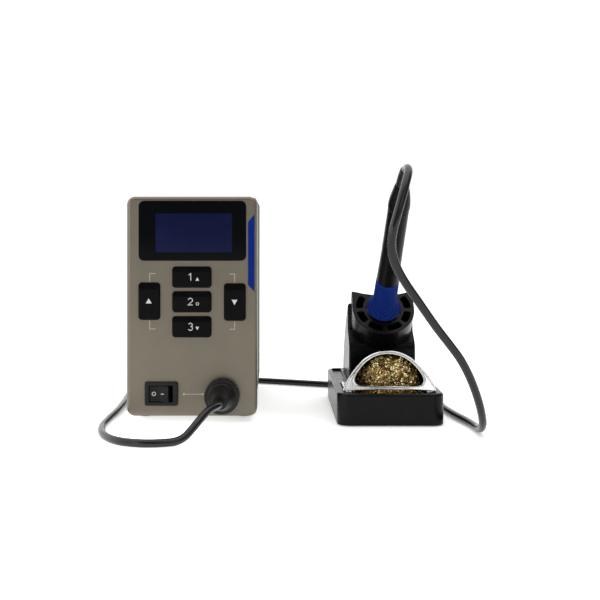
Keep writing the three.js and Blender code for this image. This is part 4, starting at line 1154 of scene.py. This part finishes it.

# looser curls in the shade at both sides of the hood, their tint painted near-black as that shade
for _ in range(330):
    side_, w_ = (-1 if rng.random() < 0.5 else 1), rng.uniform(-2.5, 13.5)
    c = np.array((SD + side_ * rng.uniform(15.5, 21.4 - 0.3 * max(w_ - 6, 0)), sy(rng.uniform(12.5, 21)), 21.9 + w_))
    if heap_inside(c, 1.2):
        continue
    pts = curl(c, rng.uniform(0.8, 1.5), rng.uniform(0.6, 1.4), rng.uniform(0.5, 0.95), rng.uniform(0.8, 2.0), 16)
    base_i, tone_glint_shade = len(wv), float(rng.uniform(0.0, 0.18))
    for a, b in pts:
        wv += [tuple(a), tuple(b)]
        wt += [tone_glint_shade, tone_glint_shade + 0.03]
    for i in range(len(pts) - 1):
        j = base_i + 2 * i
        wf.append((j, j + 1, j + 3, j + 2))

# the imported middle of the wool, painted near-black like the bed below it, as shade deep inside the heap
core_v, core_f = [], []
NU, NV = 64, 28
for j in range(NV + 1):
    for i in range(NU):
        th, ph = 2 * math.pi * i / NU, 0.5 * math.pi * j / NV
        e = np.array((math.cos(th) * math.cos(ph), math.sin(th) * math.cos(ph), math.sin(ph)))
        e /= float(np.sum(np.abs(e) ** HEAP_P)) ** (1 / HEAP_P)
        p = HEAP_C + (HEAP_R - 2.3) * e
        while p[2] > 22 and not under_hood(p, 2.2):
            p = HEAP_C + (p - HEAP_C) * 0.985
        k = noise.noise(Vector(p) * 0.55) * 0.9
        q = HEAP_C + (p - HEAP_C) * (1 + 0.05 * k)
        core_v.append(tuple(q))
for j in range(NV):
    for i in range(NU):
        a, b = j * NU + i, j * NU + (i + 1) % NU
        core_f.append((a, b, b + NU, a + NU))
core = clean(new_object("core", core_v, core_f), 1e-3)
bed = slab_xy(SB, sy(21.5), 54.4, 38.2, 1.4, 13.0, 17.2, n=4)
core.data.materials.append(MAT["wool"])
bed.data.materials.append(MAT["wool"])
strips = new_object("strips", wv, wf)
strips.data.materials.append(MAT["wool"])
n_strip = len(strips.data.vertices)
wool = join("wool_curls", strips, core, bed)
at = wool.data.attributes.new("tone_glint_shade", "FLOAT", "POINT")
# the middle and the bed get the darkest tint: painted shade inside the heap
vals = np.full(len(wool.data.vertices), 0.02, np.float32)
vals[:n_strip] = np.array(wt, np.float32)
at.data.foreach_set("value", vals)
for p in wool.data.polygons:
    p.material_index = 0
while len(wool.data.materials) > 1:
    wool.data.materials.pop(index=len(wool.data.materials) - 1)
sol = wool.modifiers.new("thin", "SOLIDIFY")
sol.thickness = 0.00007
sol.offset = 0
done(wool, "cleaner", MAT["wool"], "brass_wool", smooth=60, weighted=False)

# ------------------------------------------------------------- the iron
tube_p = [(7.2, -50), (8.0, -50), (8.0, -14.5), (11.9, -14), (11.9, -4.4), (9.4, -4.4), (9.4, -13), (7.2, -14)]
done(revolve(round_profile(tube_p, 0.25), in_iron, 64, "rest_tube"), "root", MAT["tube_steel_painted_shade"], "holder_tube")
tip_p = [(0, -66), (0.3, -65.9), (0.5, -65.6), (2.4, -56), (3.1, -52.4), (4.4, -52.2), (4.4, -50.6), (3.2, -50.6), (3.2, -37), (0, -37)]
done(revolve(round_profile(tip_p, 0.12), in_iron, 48, "tip_point"), "iron", MAT["tip"], "iron_tip")
done(revolve(round_profile([(3.5, -50.2), (4.6, -50.2), (4.6, -4), (3.5, -4)], 0.2), in_iron, 48, "barrel_sleeve"), "iron", MAT["steel"], "heater_barrel")
done(revolve(round_profile([(0, -36), (2.7, -36), (2.7, 6), (0, 6)], 0.4), in_iron, 40, "heater_rod"), "iron", MAT["ceramic"], "heater_core")


def knurled(r, t, a):
    return r - (0.12 * (0.5 + 0.5 * math.cos(24 * a)) if r > 7.6 else 0)


done(revolve(round_profile([(4.9, -12), (6.4, -12), (7.9, -9), (7.9, -2.0), (4.9, -2.0)], 0.25), in_iron, 240, "collar_nut", warp=knurled),
     "iron", MAT["steel"], "iron_collar")


def grip_profile():
    pts = smooth_open([(10.6, -1.2), (11.6, 0.4), (11.9, 2.4), (11.3, 3.9), (9.9, 6.0), (8.8, 8.8), (8.4, 12), (8.2, 15.5), (8.0, 24), (7.78, 32.6), (7.7, 33)], 18)
    return [(6.5, -1.2)] + pts + [(6.5, 33)]


def chevron(r, t, a):
    """Fine V ribs round the grip, their points on the side toward the user."""
    if r < 7.7 or not 2.2 < t < 32.2:
        return r
    fade = min(1, (t - 2.2) / 1.5) * min(1, (32.2 - t) / 1.2)
    v = -4.2 * abs(math.cos(a)) if math.sin(a) < 0 else -4.2
    return r - 0.36 * fade * (0.5 + 0.5 * math.cos(2 * math.pi * (t + v) / 2.3)) ** 2


def dense(profile, step):
    out = []
    for i, p in enumerate(profile[:-1]):
        q = profile[i + 1]
        n = max(1, int(math.hypot(q[0] - p[0], q[1] - p[1]) / step)) if i else 1
        out += [(p[0] + (q[0] - p[0]) * k / n, p[1] + (q[1] - p[1]) * k / n) for k in range(n)]
    return out + [profile[-1]]


grip = revolve(dense(grip_profile(), 0.26), in_iron, 120, "foam_grip", warp=chevron)
# how far each grip point lies down a rib groove, which sets the painted shade there
groove = []
for vert in grip.data.vertices:
    d = Vector(vert.co) - Vector(FACE)
    t_, a_ = d.dot(AXIS), math.atan2(d.dot(UPF), d.x)
    r_ = math.hypot(d.dot(UPF), d.x)
    groove.append(min(1.0, max(0.0, (9.0 - chevron(9.0, t_, a_)) / 0.36)) if r_ > 7.2 else 0.0)
grip.data.attributes.new("groove", "FLOAT", "POINT").data.foreach_set("value", np.array(groove, np.float32))
done(grip, "iron", MAT["grip"], "iron_grip", smooth=60)
hp = smooth_open([(7.62, 33.5), (7.5, 40), (7.2, 52), (6.95, 65), (6.75, 84), (6.6, 104)], 8)
handle_p = [(4.2, -1.2), (6.2, -1.2), (6.2, 33.3), (7.4, 33.3)] + hp + [(4.2, 104)]
done(revolve(handle_p, in_iron, 80, "handle_shell"), "iron", MAT["handle"], "iron_handle", smooth=40)
cap_p = [(3.2, 98), (3.9, 98), (3.9, 104.3), (6.2, 104.3), (6.5, 104.5)] + smooth_open([(6.8, 105.4), (6.85, 107), (6.6, 111), (5.75, 117), (4.8, 122), (4.4, 124)], 6) + [(4.2, 124.2), (3.2, 124.2)]
done(revolve(cap_p, in_iron, 72, "end_cap"), "iron", MAT["handle"], "handle_end_cap", smooth=45)

# the sleeve on the cable: straight out of the cap, then bending with the cable
sl = [np.array(in_iron(0, 0, 112 + 0.5 * k)) for k in range(38)]
fine, _ = resample(rough_path, 0.5)
sl += [q for q in fine[2:18]]
sl = np.array(sl)
dist = np.concatenate([[0], np.cumsum(np.linalg.norm(np.diff(sl, axis=0), axis=1))])
radii = []
for d in dist:
    t = d - 12.3
    if t < 0:
        r = 2.9
    elif t < 0.5:
        r = 2.9 + 1.05 * t / 0.5
    else:
        r = 3.95 - 1.1 * (t - 0.5) / (dist[-1] - 12.8)
    radii.append(r)
radii[-1] = radii[-2] - 0.25
v, f = tube_mesh(sl, 1, 40, radii=radii)
sleeve = new_object("cable_sleeve", v, f)
clean(sleeve, 1e-4)
done(sleeve, "iron", MAT["rubber"], "strain_relief", smooth=30)

# --------------------------------------------- the pieces kept from the frame
KEPT = {
    "lcd_module": "lcd_frame", "key_mat": "mat", "control_board": "pcb", "power_board": "pcb", "handle_board": "pcb",
    "transformer_core": "core", "transformer_coil": "copper",
}
MAT["lcd_frame"] = material("lcd_frame", (0.5, 0.5, 0.51), 0.3, 0.9, vary=0.06, vary_scale=140, grain=1500, grain_depth=0.01)
for node, key in KEPT.items():
    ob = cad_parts[node]
    if not ob.material_slots:
        ob.data.materials.append(MAT[key])
    for sl_ in ob.material_slots:
        sl_.material = MAT[key]

# ------------------------------------------------------------- the studio
floor_mat = bpy.data.materials.new("floor")
floor_mat.use_nodes = True
nt = floor_mat.node_tree
fb = nt.nodes["Principled BSDF"]
fb.inputs["Base Color"].default_value = (0.90, 0.90, 0.895, 1)
fb.inputs["Specular IOR Level"].default_value = 0.15
fb.inputs["Emission Color"].default_value = (1, 1, 1, 1)
fb.inputs["Emission Strength"].default_value = 0.36
# the floor glows like a light table, brighter in a round pool in front of the station's left half: painted light that
# also lights the panel
tcn, fn, fr = nt.nodes.new("ShaderNodeTexCoord"), nt.nodes.new("ShaderNodeTexNoise"), nt.nodes.new("ShaderNodeMapRange")
dist, floor_glow_pool = nt.nodes.new("ShaderNodeVectorMath"), nt.nodes.new("ShaderNodeMapRange")
dist.operation = "DISTANCE"
dist.inputs[1].default_value = (-0.085, -0.085, 0.0)
nt.links.new(tcn.outputs["Object"], dist.inputs[0])
floor_glow_pool.interpolation_type = "SMOOTHSTEP"
floor_glow_pool.inputs["From Min"].default_value, floor_glow_pool.inputs["From Max"].default_value = 0.03, 0.13
floor_glow_pool.inputs["To Min"].default_value, floor_glow_pool.inputs["To Max"].default_value = 0.85, 0.33
nt.links.new(dist.outputs["Value"], floor_glow_pool.inputs["Value"])
nt.links.new(floor_glow_pool.outputs[0], fb.inputs["Emission Strength"])
fn.inputs["Scale"].default_value = 3.0
nt.links.new(tcn.outputs["Object"], fn.inputs["Vector"])
fr.inputs["To Min"].default_value, fr.inputs["To Max"].default_value = 0.6, 0.75
nt.links.new(fn.outputs["Fac"], fr.inputs["Value"])
nt.links.new(fr.outputs[0], fb.inputs["Roughness"])
me = bpy.data.meshes.new("floor")
me.from_pydata([(-9, -9, 0), (9, -9, 0), (9, 9, 0), (-9, 9, 0)], [], [(0, 1, 2, 3)])
floor = bpy.data.objects.new("floor", me)
floor.data.materials.append(floor_mat)
coll.objects.link(floor)
floor.location = (0, 0, -0.0002)

# a plain pale wall far away all round, which lights and mirrors nothing
wall_mat = bpy.data.materials.new("wall")
wall_mat.use_nodes = True
wb = wall_mat.node_tree.nodes["Principled BSDF"]
wb.inputs["Base Color"].default_value = (0, 0, 0, 1)
wb.inputs["Specular IOR Level"].default_value = 0.0
wb.inputs["Emission Color"].default_value = (1, 1, 1, 1)
wb.inputs["Emission Strength"].default_value = 1.1
me = bpy.data.meshes.new("wall")
ring_pts = [(8.8 * math.cos(2 * math.pi * k / 64), 8.8 * math.sin(2 * math.pi * k / 64)) for k in range(64)]
me.from_pydata([(x, y, z) for z in (-0.3, 9.0) for x, y in ring_pts], [],
               [(k, 64 + k, 64 + (k + 1) % 64, (k + 1) % 64) for k in range(64)])
wall = bpy.data.objects.new("wall", me)
wall.data.materials.append(wall_mat)
coll.objects.link(wall)
wall.visible_diffuse = wall.visible_glossy = wall.visible_transmission = False
wall.visible_volume_scatter = wall.visible_shadow = False

world = bpy.data.worlds.new("studio")
scene.world = world
world.use_nodes = True
nt = world.node_tree
nt.nodes.clear()
wo, bg = nt.nodes.new("ShaderNodeOutputWorld"), nt.nodes.new("ShaderNodeBackground")
tcw, sp, mr = nt.nodes.new("ShaderNodeTexCoord"), nt.nodes.new("ShaderNodeSeparateXYZ"), nt.nodes.new("ShaderNodeMapRange")
nt.links.new(tcw.outputs["Generated"], sp.inputs[0])
mr.interpolation_type = "SMOOTHSTEP"
mr.inputs["From Min"].default_value, mr.inputs["From Max"].default_value = -0.85, -0.1
mr.inputs["To Min"].default_value, mr.inputs["To Max"].default_value = 0.13, 1.35
nt.links.new(sp.outputs["Y"], mr.inputs["Value"])
bg.inputs["Color"].default_value = (1, 1, 1, 1)
mx, ml = nt.nodes.new("ShaderNodeMapRange"), nt.nodes.new("ShaderNodeMath")
mx.interpolation_type = "SMOOTHSTEP"
mx.inputs["From Min"].default_value, mx.inputs["From Max"].default_value = 0.48, 0.86
mx.inputs["To Min"].default_value, mx.inputs["To Max"].default_value = 1.0, 0.22
nt.links.new(sp.outputs["X"], mx.inputs["Value"])
my, mk = nt.nodes.new("ShaderNodeMapRange"), nt.nodes.new("ShaderNodeMath")
my.interpolation_type = "SMOOTHSTEP"
my.inputs["From Min"].default_value, my.inputs["From Max"].default_value = -0.9, -0.5
my.inputs["To Min"].default_value, my.inputs["To Max"].default_value = 1.6, 1.0
nt.links.new(sp.outputs["X"], my.inputs["Value"])
mk.operation = ml.operation = "MULTIPLY"
nt.links.new(mr.outputs[0], mk.inputs[0])
nt.links.new(my.outputs[0], mk.inputs[1])
nt.links.new(mk.outputs[0], ml.inputs[0])
nt.links.new(mx.outputs[0], ml.inputs[1])
nt.links.new(ml.outputs[0], bg.inputs["Strength"])
nt.links.new(bg.outputs[0], wo.inputs[0])


def area(name, loc, target, size_x, size_y, power, color=(1, 1, 1)):
    li = bpy.data.lights.new(name, "AREA")
    li.shape, li.size, li.size_y, li.energy, li.color = "RECTANGLE", size_x, size_y, power, color
    ob = bpy.data.objects.new(name, li)
    coll.objects.link(ob)
    ob.location = loc
    ob.rotation_euler = (Vector(target) - Vector(loc)).to_track_quat("-Z", "Y").to_euler()
    return ob


area("top_box", (0.0, -0.1, 1.25), (0, 0, 0.05), 1.5, 1.2, 4.4)
area("left_front", (-1.0, -0.9, 0.75), (0, 0, 0.08), 0.6, 0.9, 1.65)
area("right_front", (0.9, -1.1, 0.8), (0, 0, 0.08), 0.5, 0.8, 1.2)
area("low_left", (-0.55, -0.8, 0.16), (-0.04, 0, 0.05), 0.22, 0.16, 0.6)
area("front_top", (0.39, -1.3, 0.8), (0.07, 0, 0.05), 0.40, 0.34, 0.85)

scene.view_settings.view_transform = "Standard"
scene.view_settings.look = "None"
scene.view_settings.exposure = 0.0
scene.view_settings.gamma = 1.0
